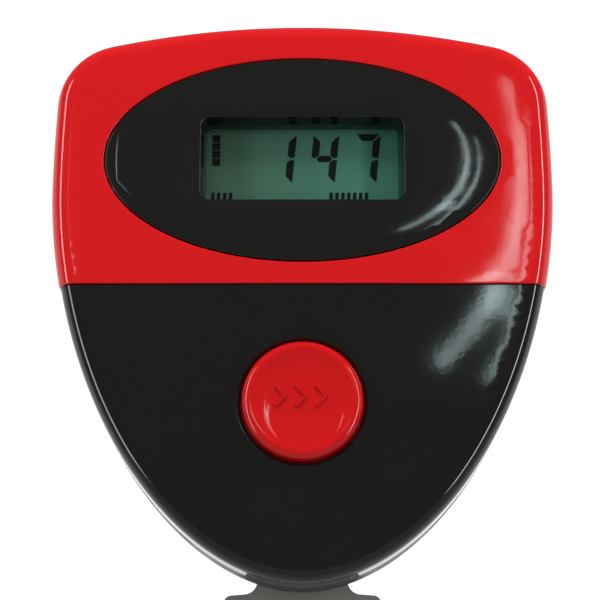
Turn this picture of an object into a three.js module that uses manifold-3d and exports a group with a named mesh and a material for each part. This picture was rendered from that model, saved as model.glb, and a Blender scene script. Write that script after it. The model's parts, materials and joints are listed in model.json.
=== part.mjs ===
// Exercise-machine monitor: a battery-powered LCD counter in a two-part case with a red top cover,
// an oval display bezel and one push button, on a sheet-steel bracket with a flat foot.
// Millimetres, +Z up. The foot's underside is Z = 0 and its centre is the origin.
// The console is drawn in its face frame: x to the right, y up the face, z out of the face,
// with z = 0 on the black lower face. The frame then leans back as one group.
import * as THREE from 'three';
import { mergeVertices } from 'three/addons/utils/BufferGeometryUtils.js';
import Module from 'manifold-3d';

const wasm = await Module();
wasm.setup();

// ---- driving dimensions -------------------------------------------------------------------
const LEAN = THREE.MathUtils.degToRad(30);   // the face leans back from vertical
const HALF_WIDTH = 55;                       // widest half width of the case, at y = 0
const TOP_RISE = 38.6;                       // top edge above the widest line
const BOTTOM_DROP = 86.3;                    // lowest point below the widest line
const LOWER_POWER = 1.9;                     // exponent of the lower superellipse
const SIDE_RADIUS = 350;                     // upper side arcs
const TOP_RADIUS = 200;                      // top arc
const CORNER_RADIUS = 15;                    // shoulders between side and top arcs
const CASE_DEPTH = 25;
const PARTING = 10;                          // depth of the line between the two shells
const WALL = 2;
const GAP = 0.3;                             // clearance between neighbouring pieces
const EDGE_RADIUS = 4;                       // soft front edge
const BACK_EDGE = 7;                         // larger soft edge at the back
const STEP_IN = 0.35;                        // black case sits this much inside the red cover

const SEAM_Y = -21.9;                        // lower edge of the red cover
const COVER_WALL = 1.8;
const COVER_PROUD = 0.3;                     // the cover's face above the black face

const DISPLAY_Y = 6.4;                       // centre of the oval and of the display
const OVAL_HALF = [43.2, 23.2];
const OVAL_EDGE = 0.8;
const WINDOW_HALF = [22.2, 9.5];             // window opening at the bezel's face
const WINDOW_CORNER = 2.2;
const WINDOW_DRAFT = 1;
const TUNNEL_WALL = 1.4;
const TUNNEL_END = 4.6;                      // depth where the window's tunnel ends
const GLASS_HALF = [25, 13];

const BUTTON_Y = -47.7;
const BUTTON_RADIUS = 12.9;
const BUTTON_HEIGHT = 1.9;
const BUTTON_DISH = 0.7;
const BUTTON_TRAVEL = 1.2;
const BUTTON_HOLE = 13.25;
const BUTTON_CHAMFER = 1.05;

const BOARD_HALF_WIDTH = 35;
const BOARD_TOP = 24;
const BOARD_BOTTOM = -58;
const BOARD_FRONT = 8.4;
const BOARD_THICKNESS = 1.2;
const BOARD_SCREWS = [[-32, 20], [32, 20], [-32, -53], [32, -53]];
const CASE_SCREWS = [[-43, 14], [43, 14], [-24, -66], [24, -66]];

const CELL_RADIUS = 5.25;
const CELL_LENGTH = 44.5;
const CELL_Y = 6;
const CELL_DEPTH = 16.7;
const BAY_HALF = [26.3, 6];                  // inside of the battery bay
const BAY_FLOOR = 10;
const DOOR_HALF_WIDTH = 27.7;
const DOOR_THICKNESS = 2.2;
const DOOR_TOP = 17;
const HINGE_Y = -4;
const HINGE_DEPTH = 23.8;
const HINGE_RADIUS = 1.1;
const HINGE_PIN = 0.7;

const JACK = [22, -30];

const SHEET = 2;                             // bracket sheet
const NECK_HALF = 9.9;
const FLANGE_HALF = 17.4;
const SHOULDER_Y = -85.6;                    // where the neck widens
const BEND_Y = -100;                         // where the leg starts to bend
const BEND_INSIDE = 3;
const TONGUE_TOP = -40;
const FOOT_LENGTH = 42;
const FOOT_CORNER = 4;
const FOOT_HOLE = 2.75;
const FOOT_HOLE_SPACING = 22;
const BRACKET_SCREWS = [[0, -50], [0, -68]];
const EAR_DEPTH = 5;                         // how far the ears reach behind the leg

// Posts, pins and holes: radii, and the depths below the face where they start or end.
const BOARD_POST = 3;
const CASE_POST = 3.6;
const BOARD_PILOT = 1.15;
const CASE_PILOT = 1.4;
const PILOT_END = -4.6;
const COVER_PINS = [[-46, -12], [46, -12], [-42, 27], [42, 27]];
const COVER_PIN = 1.2;
const COVER_PIN_END = -5.6;
const BOARD_CORNER = 4;
const BOARD_HOLE = 1.4;
const CASE_TOWER = 4.2;
const CASE_THROUGH = 1.7;
const COUNTERBORE = 3.2;
const COUNTERBORE_FLOOR = -16;
const BRACKET_BOSS = 4.5;
const BRACKET_PILOT = 1.6;
const BOSS_END = -14;
const BRACKET_HOLE = 2.1;
const WASHER_RADIUS = 4.4;
const WASHER_THICKNESS = 0.8;

// Screws: shank and head radii, head height, and the depth of the tip below the face.
const BOARD_SCREW = { shank: 0.9, head: 2.2, high: 1.5, tip: -5.2 };
const CASE_SCREW = { shank: 1.15, head: 2.8, high: 2, tip: -5.4 };
const BRACKET_SCREW = { shank: 1.4, head: 3.4, high: 2.3, tip: -16 };

// Parts on the board.
const CHIP = { place: [0, -22], radius: 5, high: 1.4 };
const CRYSTAL = { place: [-16, -16], radius: 1.1, length: 6.5 };
const CAPACITOR = { radius: 2, high: 5, chamfer: 0.4 };
const CAPACITORS = [[-14, -32], [-21, -32]];
const JACK_BODY_HALF = 4;
const JACK_NECK = 3.4;
const JACK_BORE = 1.8;
const JACK_HOLE = 3.8;
const JACK_PROUD = 0.4;

// Button: plunger, retaining flange and the shape of its rim.
const BUTTON_CREST = 11.2;                   // radius of the rim's highest line
const BUTTON_FLANGE = 14.5;
const PLUNGER = 3;
const PLUNGER_END = -5.3;
const PILL = { radius: 2, depths: [-6.9, -6.4] };
const DOME_PROFILE = [
  [6.5, -8.2], [6.5, -7.6], [5, -7.2], [3, -5.8], [0, -5.6],
  [0, -6.1], [2.8, -6.3], [4.6, -7.6], [5, -8.2], [6.5, -8.2],
];

// ---- materials ----------------------------------------------------------------------------
function finish(color, roughness, metalness = 0) {
  return new THREE.MeshStandardMaterial({ color, roughness, metalness });
}

const red = finish(0xc8141a, 0.25);
const glossBlack = finish(0x141414, 0.15);
const satinBlack = finish(0x1c1c1c, 0.45);
const clear = finish(0xdfe6e4, 0.05);
clear.transparent = true;
clear.opacity = 0.25;
const lcdGlass = finish(0x6f8f7c, 0.1);
const foil = finish(0xb9c2b4, 0.35, 0.6);
const board = finish(0x1f6b3a, 0.5);
const rubber = finish(0xc9c9c4, 0.8);
const carbon = finish(0x1a1a1a, 0.9);
const epoxy = finish(0x0c0c0c, 0.35);
const steel = finish(0xb8bab8, 0.35, 1);
const nickel = finish(0xd6d2c4, 0.25, 1);
const paintedSheet = finish(0x6e736c, 0.45, 0.3);
const cellWrap = finish(0x2e6db4, 0.35, 0.2);
const redLead = finish(0xb01818, 0.5);
const blackLead = finish(0x151515, 0.5);
const whitePlastic = finish(0xe6e6e0, 0.5);

// ---- solids: three.js geometry to manifold and back ---------------------------------------
function solid(geometry) {
  const bare = geometry.index ? geometry.toNonIndexed() : geometry.clone();
  bare.deleteAttribute('normal');
  bare.deleteAttribute('uv');
  const merged = mergeVertices(bare, 1e-4);
  const mesh = new wasm.Mesh({
    numProp: 3,
    vertProperties: new Float32Array(merged.attributes.position.array),
    triVerts: new Uint32Array(merged.index.array),
  });
  return new wasm.Manifold(mesh);
}

function geometryOf(body) {
  const mesh = body.getMesh();
  const geometry = new THREE.BufferGeometry();
  geometry.setAttribute('position', new THREE.BufferAttribute(mesh.vertProperties, 3));
  geometry.setIndex(new THREE.BufferAttribute(mesh.triVerts, 1));
  const faceted = geometry.toNonIndexed();
  faceted.computeVertexNormals();
  return faceted;
}

function union(parts) {
  return parts.reduce((sum, part) => sum.add(part));
}

function cut(body, tools) {
  return tools.reduce((rest, tool) => rest.subtract(tool), body);
}

// A box between two x, two y and two z values.
function block([x0, x1], [y0, y1], [z0, z1]) {
  const geometry = new THREE.BoxGeometry(x1 - x0, y1 - y0, z1 - z0);
  geometry.translate((x0 + x1) / 2, (y0 + y1) / 2, (z0 + z1) / 2);
  return solid(geometry);
}

// A shape pushed along z from z0 to z1.
function slab(shape, [z0, z1]) {
  const options = { depth: z1 - z0, bevelEnabled: false, curveSegments: 8 };
  const geometry = new THREE.ExtrudeGeometry(shape, options);
  geometry.translate(0, 0, z0);
  return solid(geometry);
}

// A turned piece about the z axis through (x, y): profile points are [radius, z], either way round.
function turned(profile, [x, y] = [0, 0], segments = 24) {
  const points = profile.map(([radius, z]) => new THREE.Vector2(radius, z));
  if (THREE.ShapeUtils.area(points) < 0) points.reverse();
  const geometry = new THREE.LatheGeometry(points, segments);
  geometry.rotateX(Math.PI / 2);
  geometry.translate(x, y, 0);
  return solid(geometry);
}

function rod(radius, place, [z0, z1], segments = 20) {
  return turned([[0, z0], [radius, z0], [radius, z1], [0, z1]], place, segments);
}

function roundedRectangle(halfX, halfY, radius, centreY = 0) {
  const shape = new THREE.Shape();
  const top = centreY + halfY;
  const bottom = centreY - halfY;
  shape.moveTo(halfX - radius, bottom);
  shape.absarc(halfX - radius, bottom + radius, radius, -Math.PI / 2, 0);
  shape.absarc(halfX - radius, top - radius, radius, 0, Math.PI / 2);
  shape.absarc(radius - halfX, top - radius, radius, Math.PI / 2, Math.PI);
  shape.absarc(radius - halfX, bottom + radius, radius, Math.PI, Math.PI * 1.5);
  shape.closePath();
  return shape;
}

function oval(inset) {
  const points = [];
  const steps = 48;
  for (let i = 0; i < steps; i += 1) {
    const angle = (i / steps) * Math.PI * 2;
    const x = (OVAL_HALF[0] - inset) * Math.cos(angle);
    const y = DISPLAY_Y + (OVAL_HALF[1] - inset) * Math.sin(angle);
    points.push(new THREE.Vector2(x, y));
  }
  return new THREE.Shape(points);
}

// ---- the case outline ---------------------------------------------------------------------
function arcPoints(centre, radius, from, to, steps) {
  const points = [];
  for (let i = 0; i <= steps; i += 1) {
    const angle = from + ((to - from) * i) / steps;
    points.push(new THREE.Vector2(centre.x + radius * Math.cos(angle), centre.y + radius * Math.sin(angle)));
  }
  return points;
}

// Half of the outline, from the lowest point up the right side to the top, moved in by inset.
function rightHalf(inset) {
  const points = [];
  const lowerSteps = 17;
  for (let i = 0; i < lowerSteps; i += 1) {
    const angle = -Math.PI / 2 + (i / lowerSteps) * (Math.PI / 2);
    const across = Math.pow(Math.cos(angle), 2 / LOWER_POWER);
    const down = Math.pow(-Math.sin(angle), 2 / LOWER_POWER);
    const point = new THREE.Vector2(HALF_WIDTH * across, -BOTTOM_DROP * down);
    const normal = new THREE.Vector2(
      Math.pow(across, LOWER_POWER - 1) / HALF_WIDTH,
      -Math.pow(down, LOWER_POWER - 1) / BOTTOM_DROP,
    ).normalize();
    points.push(point.addScaledVector(normal, -inset));
  }
  points[0].x = 0;
  const side = new THREE.Vector2(HALF_WIDTH - SIDE_RADIUS, 0);
  const top = new THREE.Vector2(0, TOP_RISE - TOP_RADIUS);
  const toSide = SIDE_RADIUS - CORNER_RADIUS;
  const toTop = TOP_RADIUS - CORNER_RADIUS;
  const between = top.clone().sub(side);
  const span = between.length();
  const along = (span * span + toSide * toSide - toTop * toTop) / (2 * span);
  const off = Math.sqrt(toSide * toSide - along * along);
  const axis = between.divideScalar(span);
  const corner = side.clone().addScaledVector(axis, along);
  corner.addScaledVector(new THREE.Vector2(-axis.y, axis.x), off);
  const sideAngle = Math.atan2(corner.y - side.y, corner.x - side.x);
  const topAngle = Math.atan2(corner.y - top.y, corner.x - top.x);
  points.push(...arcPoints(side, SIDE_RADIUS - inset, 0, sideAngle, 2));
  points.push(...arcPoints(corner, CORNER_RADIUS - inset, sideAngle, topAngle, 6).slice(1));
  points.push(...arcPoints(top, TOP_RADIUS - inset, topAngle, Math.PI / 2, 4).slice(1));
  return points;
}

function outline(inset) {
  const right = rightHalf(inset);
  const left = right.slice(1, -1).reverse().map((point) => new THREE.Vector2(-point.x, point.y));
  return new THREE.Shape([...right, ...left]);
}

// The outline as a block from zBack to zFront, with its front (+1) or back (-1) edge rounded.
function softBlock(inset, [zBack, zFront], radius, end, roundSteps = 4) {
  const depth = zFront - zBack;
  const geometry = new THREE.ExtrudeGeometry(outline(inset + radius), {
    depth,
    bevelThickness: radius,
    bevelSize: radius,
    bevelSegments: roundSteps,
  });
  geometry.translate(0, 0, end > 0 ? zBack - radius : zBack + radius);
  const wide = HALF_WIDTH * 2;
  return solid(geometry).intersect(block([-wide, wide], [-wide, wide], [zBack, zFront]));
}

const FAR = 200;
const above = (y, zs) => block([-FAR, FAR], [y, FAR], zs);
const below = (y, zs) => block([-FAR, FAR], [-FAR, y], zs);

// ---- front shell --------------------------------------------------------------------------
function frontShell() {
  const seat = COVER_PROUD - COVER_WALL - GAP;            // face that the cover rests on
  const seatInset = COVER_WALL + GAP;
  const lower = softBlock(STEP_IN, [-PARTING, 0], EDGE_RADIUS - STEP_IN, 1)
    .intersect(below(SEAM_Y - GAP, [-PARTING, 1]));
  const upper = softBlock(seatInset, [-PARTING, seat], EDGE_RADIUS - COVER_WALL, 1, 2);
  const lowerHollow = softBlock(STEP_IN + WALL, [-FAR, -WALL], EDGE_RADIUS - WALL, 1, 1)
    .intersect(below(SEAM_Y - GAP - WALL, [-FAR, 1]));
  const upperHollow = softBlock(seatInset + WALL, [-FAR, seat - WALL], 1, 1, 1);
  let shell = cut(lower.add(upper), [lowerHollow, upperHollow]);

  const ceiling = ([, y]) => (y > SEAM_Y ? seat : 0) - WALL / 2;
  const posts = [
    ...BOARD_SCREWS.map((at) => rod(BOARD_POST, at, [-BOARD_FRONT + GAP, ceiling(at)], 16)),
    ...CASE_SCREWS.map((at) => rod(CASE_POST, at, [-PARTING, ceiling(at)], 16)),
  ];
  shell = union([shell, ...posts]);

  const holes = [
    ...BOARD_SCREWS.map((at) => rod(BOARD_PILOT, at, [-FAR, PILOT_END], 12)),
    ...CASE_SCREWS.map((at) => rod(CASE_PILOT, at, [-FAR, PILOT_END], 12)),
    ...COVER_PINS.map((at) => rod(COVER_PIN + GAP, at, [-FAR, 1], 12)),
  ];
  const tunnel = roundedRectangle(
    WINDOW_HALF[0] + TUNNEL_WALL + GAP,
    WINDOW_HALF[1] + TUNNEL_WALL + GAP,
    WINDOW_CORNER + TUNNEL_WALL,
    DISPLAY_Y,
  );
  holes.push(slab(tunnel, [-FAR, 1]));
  holes.push(turned([
    [0, -FAR],
    [BUTTON_HOLE, -FAR],
    [BUTTON_HOLE, -BUTTON_CHAMFER],
    [BUTTON_HOLE + BUTTON_CHAMFER, 0],
    [BUTTON_HOLE + BUTTON_CHAMFER, 1],
    [0, 1],
  ], [0, BUTTON_Y], 36));
  return cut(shell, holes);
}

// The red cover is held on the front shell by heat-staked pins.
function topCover() {
  const outer = softBlock(0, [-PARTING, COVER_PROUD], EDGE_RADIUS, 1)
    .intersect(above(SEAM_Y, [-PARTING, 1]));
  const hollow = softBlock(COVER_WALL, [-FAR, COVER_PROUD - COVER_WALL], EDGE_RADIUS - COVER_WALL, 1, 2);
  const shell = cut(outer, [hollow]);
  const pins = COVER_PINS.map((at) => rod(COVER_PIN, at, [COVER_PIN_END, COVER_PROUD - COVER_WALL / 2], 12));
  return cut(union([shell, ...pins]), [slab(oval(-GAP), [-FAR, 2])]);
}

// ---- display ------------------------------------------------------------------------------
function displayBezel() {
  const plateBack = COVER_PROUD - COVER_WALL;
  const plate = new THREE.ExtrudeGeometry(oval(OVAL_EDGE), {
    depth: 1.2,
    bevelThickness: OVAL_EDGE,
    bevelSize: OVAL_EDGE,
    bevelSegments: 3,
  });
  plate.translate(0, 0, plateBack);
  const front = solid(plate).intersect(block([-FAR, FAR], [-FAR, FAR], [plateBack, FAR]));
  const sleeve = roundedRectangle(
    WINDOW_HALF[0] + TUNNEL_WALL,
    WINDOW_HALF[1] + TUNNEL_WALL,
    WINDOW_CORNER + TUNNEL_WALL,
    DISPLAY_Y,
  );
  const body = front.add(slab(sleeve, [-TUNNEL_END, 0]));

  const mouth = new THREE.ExtrudeGeometry(
    roundedRectangle(
      WINDOW_HALF[0] - WINDOW_DRAFT,
      WINDOW_HALF[1] - WINDOW_DRAFT,
      WINDOW_CORNER - WINDOW_DRAFT,
      DISPLAY_Y,
    ),
    {
      depth: 1,
      bevelThickness: TUNNEL_END + 1,
      bevelSize: WINDOW_DRAFT,
      bevelSegments: 1,
      curveSegments: 4,
    },
  );
  mouth.translate(0, 0, COVER_PROUD + 0.2);
  return cut(body, [solid(mouth)]);
}

const PANE = [-5.6, -4.9];
const FRONT_GLASS = [-6.6, -5.9];
const BACK_GLASS = [-7.5, -6.8];
const REFLECTOR = [-7.9, -7.7];

function centredPlate(halfX, halfY, zs) {
  return block([-halfX, halfX], [DISPLAY_Y - halfY, DISPLAY_Y + halfY], zs);
}

function lcdFrame() {
  const depths = [-8.1, PANE[0] - GAP];
  const outer = slab(roundedRectangle(28, 15.5, 1.5, DISPLAY_Y), depths);
  return cut(outer, [centredPlate(GLASS_HALF[0] + GAP, GLASS_HALF[1] + GAP, [-FAR, FAR])]);
}

function zebraStrip(side) {
  const y = DISPLAY_Y + side * (GLASS_HALF[1] - 1.3);
  return block([-23, 23], [y - 0.9, y + 0.9], [-8.2, FRONT_GLASS[0] - 0.2]);
}

// ---- circuit board and what is on it ------------------------------------------------------
const BOARD_BACK = -BOARD_FRONT - BOARD_THICKNESS;

function circuitBoard() {
  const halfY = (BOARD_TOP - BOARD_BOTTOM) / 2;
  const shape = roundedRectangle(BOARD_HALF_WIDTH, halfY, BOARD_CORNER, (BOARD_TOP + BOARD_BOTTOM) / 2);
  const holes = BOARD_SCREWS.map((at) => rod(BOARD_HOLE, at, [-FAR, FAR], 12));
  return cut(slab(shape, [BOARD_BACK, -BOARD_FRONT]), holes);
}

function chipBlob() {
  const top = BOARD_BACK - GAP;
  const steps = 5;
  const profile = [[0, top - CHIP.high]];
  for (let i = 1; i <= steps; i += 1) {
    const angle = (i / steps) * (Math.PI / 2);
    profile.push([CHIP.radius * Math.sin(angle), top - CHIP.high * Math.cos(angle)]);
  }
  profile.push([0, top]);
  return turned(profile, CHIP.place, 20);
}

function quartzCrystal() {
  const geometry = new THREE.CylinderGeometry(CRYSTAL.radius, CRYSTAL.radius, CRYSTAL.length, 14);
  geometry.rotateZ(Math.PI / 2);
  geometry.translate(...CRYSTAL.place, BOARD_BACK - GAP - CRYSTAL.radius);
  return solid(geometry);
}

function capacitor(at) {
  const top = BOARD_BACK - GAP;
  const { radius, high, chamfer } = CAPACITOR;
  return turned([
    [0, top],
    [radius, top],
    [radius, top - high + chamfer],
    [radius - chamfer, top - high],
    [0, top - high],
  ], at, 16);
}

function sensorJack() {
  const [x, y] = JACK;
  const body = block(
    [x - JACK_BODY_HALF, x + JACK_BODY_HALF],
    [y - JACK_BODY_HALF, y + JACK_BODY_HALF],
    [-CASE_DEPTH + WALL + GAP, BOARD_BACK - GAP],
  );
  const neck = rod(JACK_NECK, JACK, [-CASE_DEPTH - JACK_PROUD, -CASE_DEPTH + WALL + 1], 20);
  return cut(union([body, neck]), [rod(JACK_BORE, JACK, [-FAR, BOARD_BACK - 2], 16)]);
}

// A pan-head screw driven from the back, with its head resting on the seat.
function screw({ shank, head, high, tip }, seat, at, segments) {
  return turned([
    [0, tip],
    [shank, tip - shank / 2],
    [shank, seat],
    [head, seat],
    [head, seat - high * 0.6],
    [head * 0.7, seat - high],
    [0, seat - high],
  ], at, segments);
}

// ---- push button --------------------------------------------------------------------------
function modeButton() {
  const profile = [[0, BUTTON_HEIGHT - BUTTON_DISH]];
  for (let i = 1; i <= 4; i += 1) {
    const along = i / 4;
    profile.push([BUTTON_CREST * along, BUTTON_HEIGHT - BUTTON_DISH * (1 - along ** 4)]);
  }
  for (let i = 1; i <= 3; i += 1) {
    const angle = (i / 3) * (Math.PI / 2);
    const radius = BUTTON_CREST + (BUTTON_RADIUS - BUTTON_CREST) * Math.sin(angle);
    profile.push([radius, BUTTON_HEIGHT * Math.cos(angle)]);
  }
  const flangeTop = -WALL - GAP;
  profile.push(
    [BUTTON_RADIUS, flangeTop],
    [BUTTON_FLANGE, flangeTop],
    [BUTTON_FLANGE, flangeTop - 1],
    [BUTTON_RADIUS - WALL, flangeTop - 1],
    [BUTTON_RADIUS - WALL, -0.4],
    [PLUNGER, -0.4],
    [PLUNGER, PLUNGER_END],
    [0, PLUNGER_END],
  );
  return turned(profile, [0, BUTTON_Y], 32);
}

function buttonDome() {
  return turned(DOME_PROFILE, [0, BUTTON_Y], 24);
}

// ---- rear shell and battery bay -----------------------------------------------------------
const BACK_INSIDE = -CASE_DEPTH + WALL;
const BAY_WALL = 1;
const DOOR_FRAME_HALF = 31;                  // thickened floor around the door
const DOOR_FRAME_Y = [-9, 20];
const TAB_SLOT = [-15.4, -14];               // depths of the slots for the contacts' solder tabs

function rearShell() {
  const top = -PARTING - GAP;
  const outer = softBlock(STEP_IN, [-CASE_DEPTH, top], BACK_EDGE, -1);
  const hollow = softBlock(STEP_IN + WALL, [BACK_INSIDE, FAR], BACK_EDGE - WALL, -1, 2);
  const frame = block([-DOOR_FRAME_HALF, DOOR_FRAME_HALF], DOOR_FRAME_Y, [-CASE_DEPTH, BACK_INSIDE + 1.6]);
  const bay = block(
    [-BAY_HALF[0] - BAY_WALL, BAY_HALF[0] + BAY_WALL],
    [CELL_Y - BAY_HALF[1] - BAY_WALL, CELL_Y + BAY_HALF[1] + BAY_WALL],
    [-CASE_DEPTH, -BAY_FLOOR],
  );
  const towers = CASE_SCREWS.map((at) => rod(CASE_TOWER, at, [BACK_INSIDE - 1, top], 20));
  const bosses = BRACKET_SCREWS.map((at) => rod(BRACKET_BOSS, at, [BACK_INSIDE - 1, BOSS_END], 20));
  const body = union([cut(outer, [hollow]), frame, bay, ...towers, ...bosses]);

  const doorSeat = -CASE_DEPTH + DOOR_THICKNESS + GAP;
  const cuts = [
    block(
      [-BAY_HALF[0], BAY_HALF[0]],
      [CELL_Y - BAY_HALF[1], CELL_Y + BAY_HALF[1]],
      [-FAR, -BAY_FLOOR - BAY_WALL],
    ),
    block(
      [-DOOR_HALF_WIDTH - GAP, DOOR_HALF_WIDTH + GAP],
      [HINGE_Y - 2.6, DOOR_TOP + GAP],
      [-FAR, doorSeat],
    ),
    rod(JACK_HOLE, JACK, [-FAR, 0], 20),
  ];
  for (const side of [-1, 1]) {
    const slot = side * (BAY_HALF[0] + 1.7);
    cuts.push(hingeRod(side, HINGE_PIN + 0.2, DOOR_HALF_WIDTH, 2.1));
    cuts.push(block([slot - 2, slot + 2], [CELL_Y - 1.7, CELL_Y + 1.7], TAB_SLOT));
  }
  for (const at of CASE_SCREWS) {
    cuts.push(rod(CASE_THROUGH, at, [-FAR, 0], 14));
    cuts.push(rod(COUNTERBORE, at, [-FAR, COUNTERBORE_FLOOR], 20));
  }
  for (const at of BRACKET_SCREWS) cuts.push(rod(BRACKET_PILOT, at, [-FAR, BOSS_END - 1.2], 12));
  return cut(body, cuts);
}

// A short rod on the door's hinge axis, starting at the door's side and pointing outwards.
function hingeRod(side, radius, from, length) {
  const geometry = new THREE.CylinderGeometry(radius, radius, length, 16);
  geometry.rotateZ(Math.PI / 2);
  geometry.translate(side * (from + length / 2), HINGE_Y, -HINGE_DEPTH);
  return solid(geometry);
}

function batteryDoor() {
  const inside = -CASE_DEPTH + DOOR_THICKNESS;
  const panel = block([-DOOR_HALF_WIDTH, DOOR_HALF_WIDTH], [HINGE_Y, DOOR_TOP], [-CASE_DEPTH, inside]);
  const barrel = new THREE.CylinderGeometry(HINGE_RADIUS, HINGE_RADIUS, DOOR_HALF_WIDTH * 2, 20);
  barrel.rotateZ(Math.PI / 2);
  barrel.translate(0, HINGE_Y, -HINGE_DEPTH);
  const pins = [-1, 1].map((side) => hingeRod(side, HINGE_PIN, DOOR_HALF_WIDTH - 0.5, 2));
  const ribs = [-14, 0, 14].map((x) => (
    block([x - 0.5, x + 0.5], [CELL_Y - 5, CELL_Y + 5], [inside - 0.2, inside + 0.4])
  ));
  const catchRidge = block([-5, 5], [DOOR_TOP - 0.5, DOOR_TOP + 0.2], [inside - 0.9, inside - 0.4]);
  const grips = [-1.6, 0, 1.6].map((step) => (
    block([-6, 6], [DOOR_TOP - 4.6 + step, DOOR_TOP - 3.9 + step], [-CASE_DEPTH - 1, -CASE_DEPTH + 0.4])
  ));
  return cut(union([panel, solid(barrel), ...pins, ...ribs, catchRidge]), grips);
}

function batteryCell() {
  const half = CELL_LENGTH / 2;
  const points = [
    [0, -half], [CELL_RADIUS - 0.4, -half], [CELL_RADIUS, -half + 0.4], [CELL_RADIUS, half - 1.4],
    [CELL_RADIUS - 0.5, half - 0.9], [1.9, half - 0.9], [1.9, half], [0, half],
  ].map(([radius, z]) => new THREE.Vector2(radius, z));
  const geometry = new THREE.LatheGeometry(points, 28);
  geometry.rotateZ(-Math.PI / 2);
  geometry.translate(2.2, CELL_Y, -CELL_DEPTH);
  return solid(geometry);
}

// The sheet contact at one end of the bay, with a solder tab through the end wall.
function contactPlate(side) {
  const end = side * (BAY_HALF[0] - GAP);
  const inner = end - side * 0.4;
  const sheet = block(sorted(inner, end), [CELL_Y - 4.5, CELL_Y + 4.5], [-21.6, -12]);
  const tab = block(sorted(inner, side * 28.6), [CELL_Y - 1.3, CELL_Y + 1.3], [-14.9, -14.5]);
  return sheet.add(tab);
}

function sorted(a, b) {
  return a < b ? [a, b] : [b, a];
}

function batterySpring() {
  const start = -BAY_HALF[0] + GAP + 0.5;
  const turns = 3.5;
  const length = 4.6;
  const points = [];
  for (let i = 0; i <= turns * 10; i += 1) {
    const along = i / (turns * 10);
    const angle = along * turns * Math.PI * 2;
    const radius = 3.6 - 1.8 * along;
    const across = CELL_Y + radius * Math.cos(angle);
    points.push(new THREE.Vector3(start + length * along, across, -CELL_DEPTH + radius * Math.sin(angle)));
  }
  const wire = new THREE.Shape(arcPoints(new THREE.Vector2(0, 0), 0.35, 0, Math.PI * (5 / 3), 5));
  const coil = new THREE.ExtrudeGeometry(wire, {
    steps: turns * 10,
    extrudePath: new THREE.CatmullRomCurve3(points),
  });
  return union([contactPlate(-1), solid(coil)]);
}

function batteryLead(side) {
  const route = new THREE.CatmullRomCurve3([
    new THREE.Vector3(side * 29.5, CELL_Y, -14.7),
    new THREE.Vector3(side * 31.2, CELL_Y - 3, -14.2),
    new THREE.Vector3(side * 31.4, CELL_Y - 9, -12.4),
    new THREE.Vector3(side * 30, CELL_Y - 13, -10.6),
  ]);
  const section = new THREE.Shape(arcPoints(new THREE.Vector2(0, 0), 0.6, 0, Math.PI * 1.75, 7));
  return solid(new THREE.ExtrudeGeometry(section, { steps: 12, extrudePath: route }));
}

// ---- bracket ------------------------------------------------------------------------------
const TONGUE_FRONT = -CASE_DEPTH - GAP;
const TONGUE_BACK = TONGUE_FRONT - SHEET;

// Side view in the face frame: [y, z]. The foot runs along the level direction behind the leg.
const LEVEL = new THREE.Vector2(Math.sin(LEAN), -Math.cos(LEAN));
const UPWARD = new THREE.Vector2(Math.cos(LEAN), Math.sin(LEAN));
const BEND_CENTRE = new THREE.Vector2(BEND_Y, TONGUE_BACK - BEND_INSIDE);

function sideProfile() {
  const outside = BEND_INSIDE + SHEET;
  const from = Math.PI / 2;
  const to = Math.PI + LEAN;
  const outer = arcPoints(BEND_CENTRE, outside, from, to, 8);
  const inner = arcPoints(BEND_CENTRE, BEND_INSIDE, from, to, 8).reverse();
  const footEnd = outer[outer.length - 1].clone().addScaledVector(LEVEL, FOOT_LENGTH);
  const footEndTop = footEnd.clone().addScaledVector(UPWARD, SHEET);
  return new THREE.Shape([
    new THREE.Vector2(TONGUE_TOP, TONGUE_BACK),
    new THREE.Vector2(TONGUE_TOP, TONGUE_FRONT),
    ...outer,
    footEnd,
    footEndTop,
    ...inner,
  ]);
}

// Extruded along x from a profile drawn as [y, z].
function strip(shape, halfX) {
  const geometry = new THREE.ExtrudeGeometry(shape, { depth: halfX * 2, bevelEnabled: false });
  const turn = new THREE.Matrix4().makeBasis(
    new THREE.Vector3(0, 1, 0),
    new THREE.Vector3(0, 0, 1),
    new THREE.Vector3(1, 0, 0),
  );
  geometry.applyMatrix4(turn);
  geometry.translate(-halfX, 0, 0);
  return solid(geometry);
}

// The sheet removed on one side of the neck, with a concave fillet and a rounded shoulder.
function neckCut(side) {
  const fillet = 3;
  const shoulder = 2;
  const shape = new THREE.Shape();
  shape.moveTo(side * NECK_HALF, TONGUE_TOP + 10);
  shape.lineTo(side * NECK_HALF, SHOULDER_Y + fillet);
  const filletX = side * (NECK_HALF + fillet);
  const inwards = side > 0 ? Math.PI : 0;
  shape.absarc(filletX, SHOULDER_Y + fillet, fillet, inwards, -Math.PI / 2, side < 0);
  const shoulderX = side * (FLANGE_HALF - shoulder);
  const outwards = side > 0 ? 0 : Math.PI;
  shape.lineTo(shoulderX, SHOULDER_Y);
  shape.absarc(shoulderX, SHOULDER_Y - shoulder, shoulder, Math.PI / 2, outwards, side > 0);
  shape.lineTo(side * FAR, SHOULDER_Y - shoulder);
  shape.lineTo(side * FAR, TONGUE_TOP + 10);
  shape.closePath();
  return slab(shape, [TONGUE_BACK - 1, TONGUE_FRONT + 1]);
}

function ear(side) {
  const top = SHOULDER_Y - 2.2;
  const shape = new THREE.Shape([
    new THREE.Vector2(top, TONGUE_FRONT - 0.6),
    new THREE.Vector2(top, TONGUE_BACK - 1.5),
    new THREE.Vector2(top - 3, TONGUE_BACK - EAR_DEPTH),
    new THREE.Vector2(BEND_Y + 2, TONGUE_BACK - EAR_DEPTH),
    new THREE.Vector2(BEND_Y + 2, TONGUE_FRONT - 0.6),
  ]);
  return strip(shape, SHEET / 2).translate([side * (FLANGE_HALF - SHEET / 2), 0, 0]);
}

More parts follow.
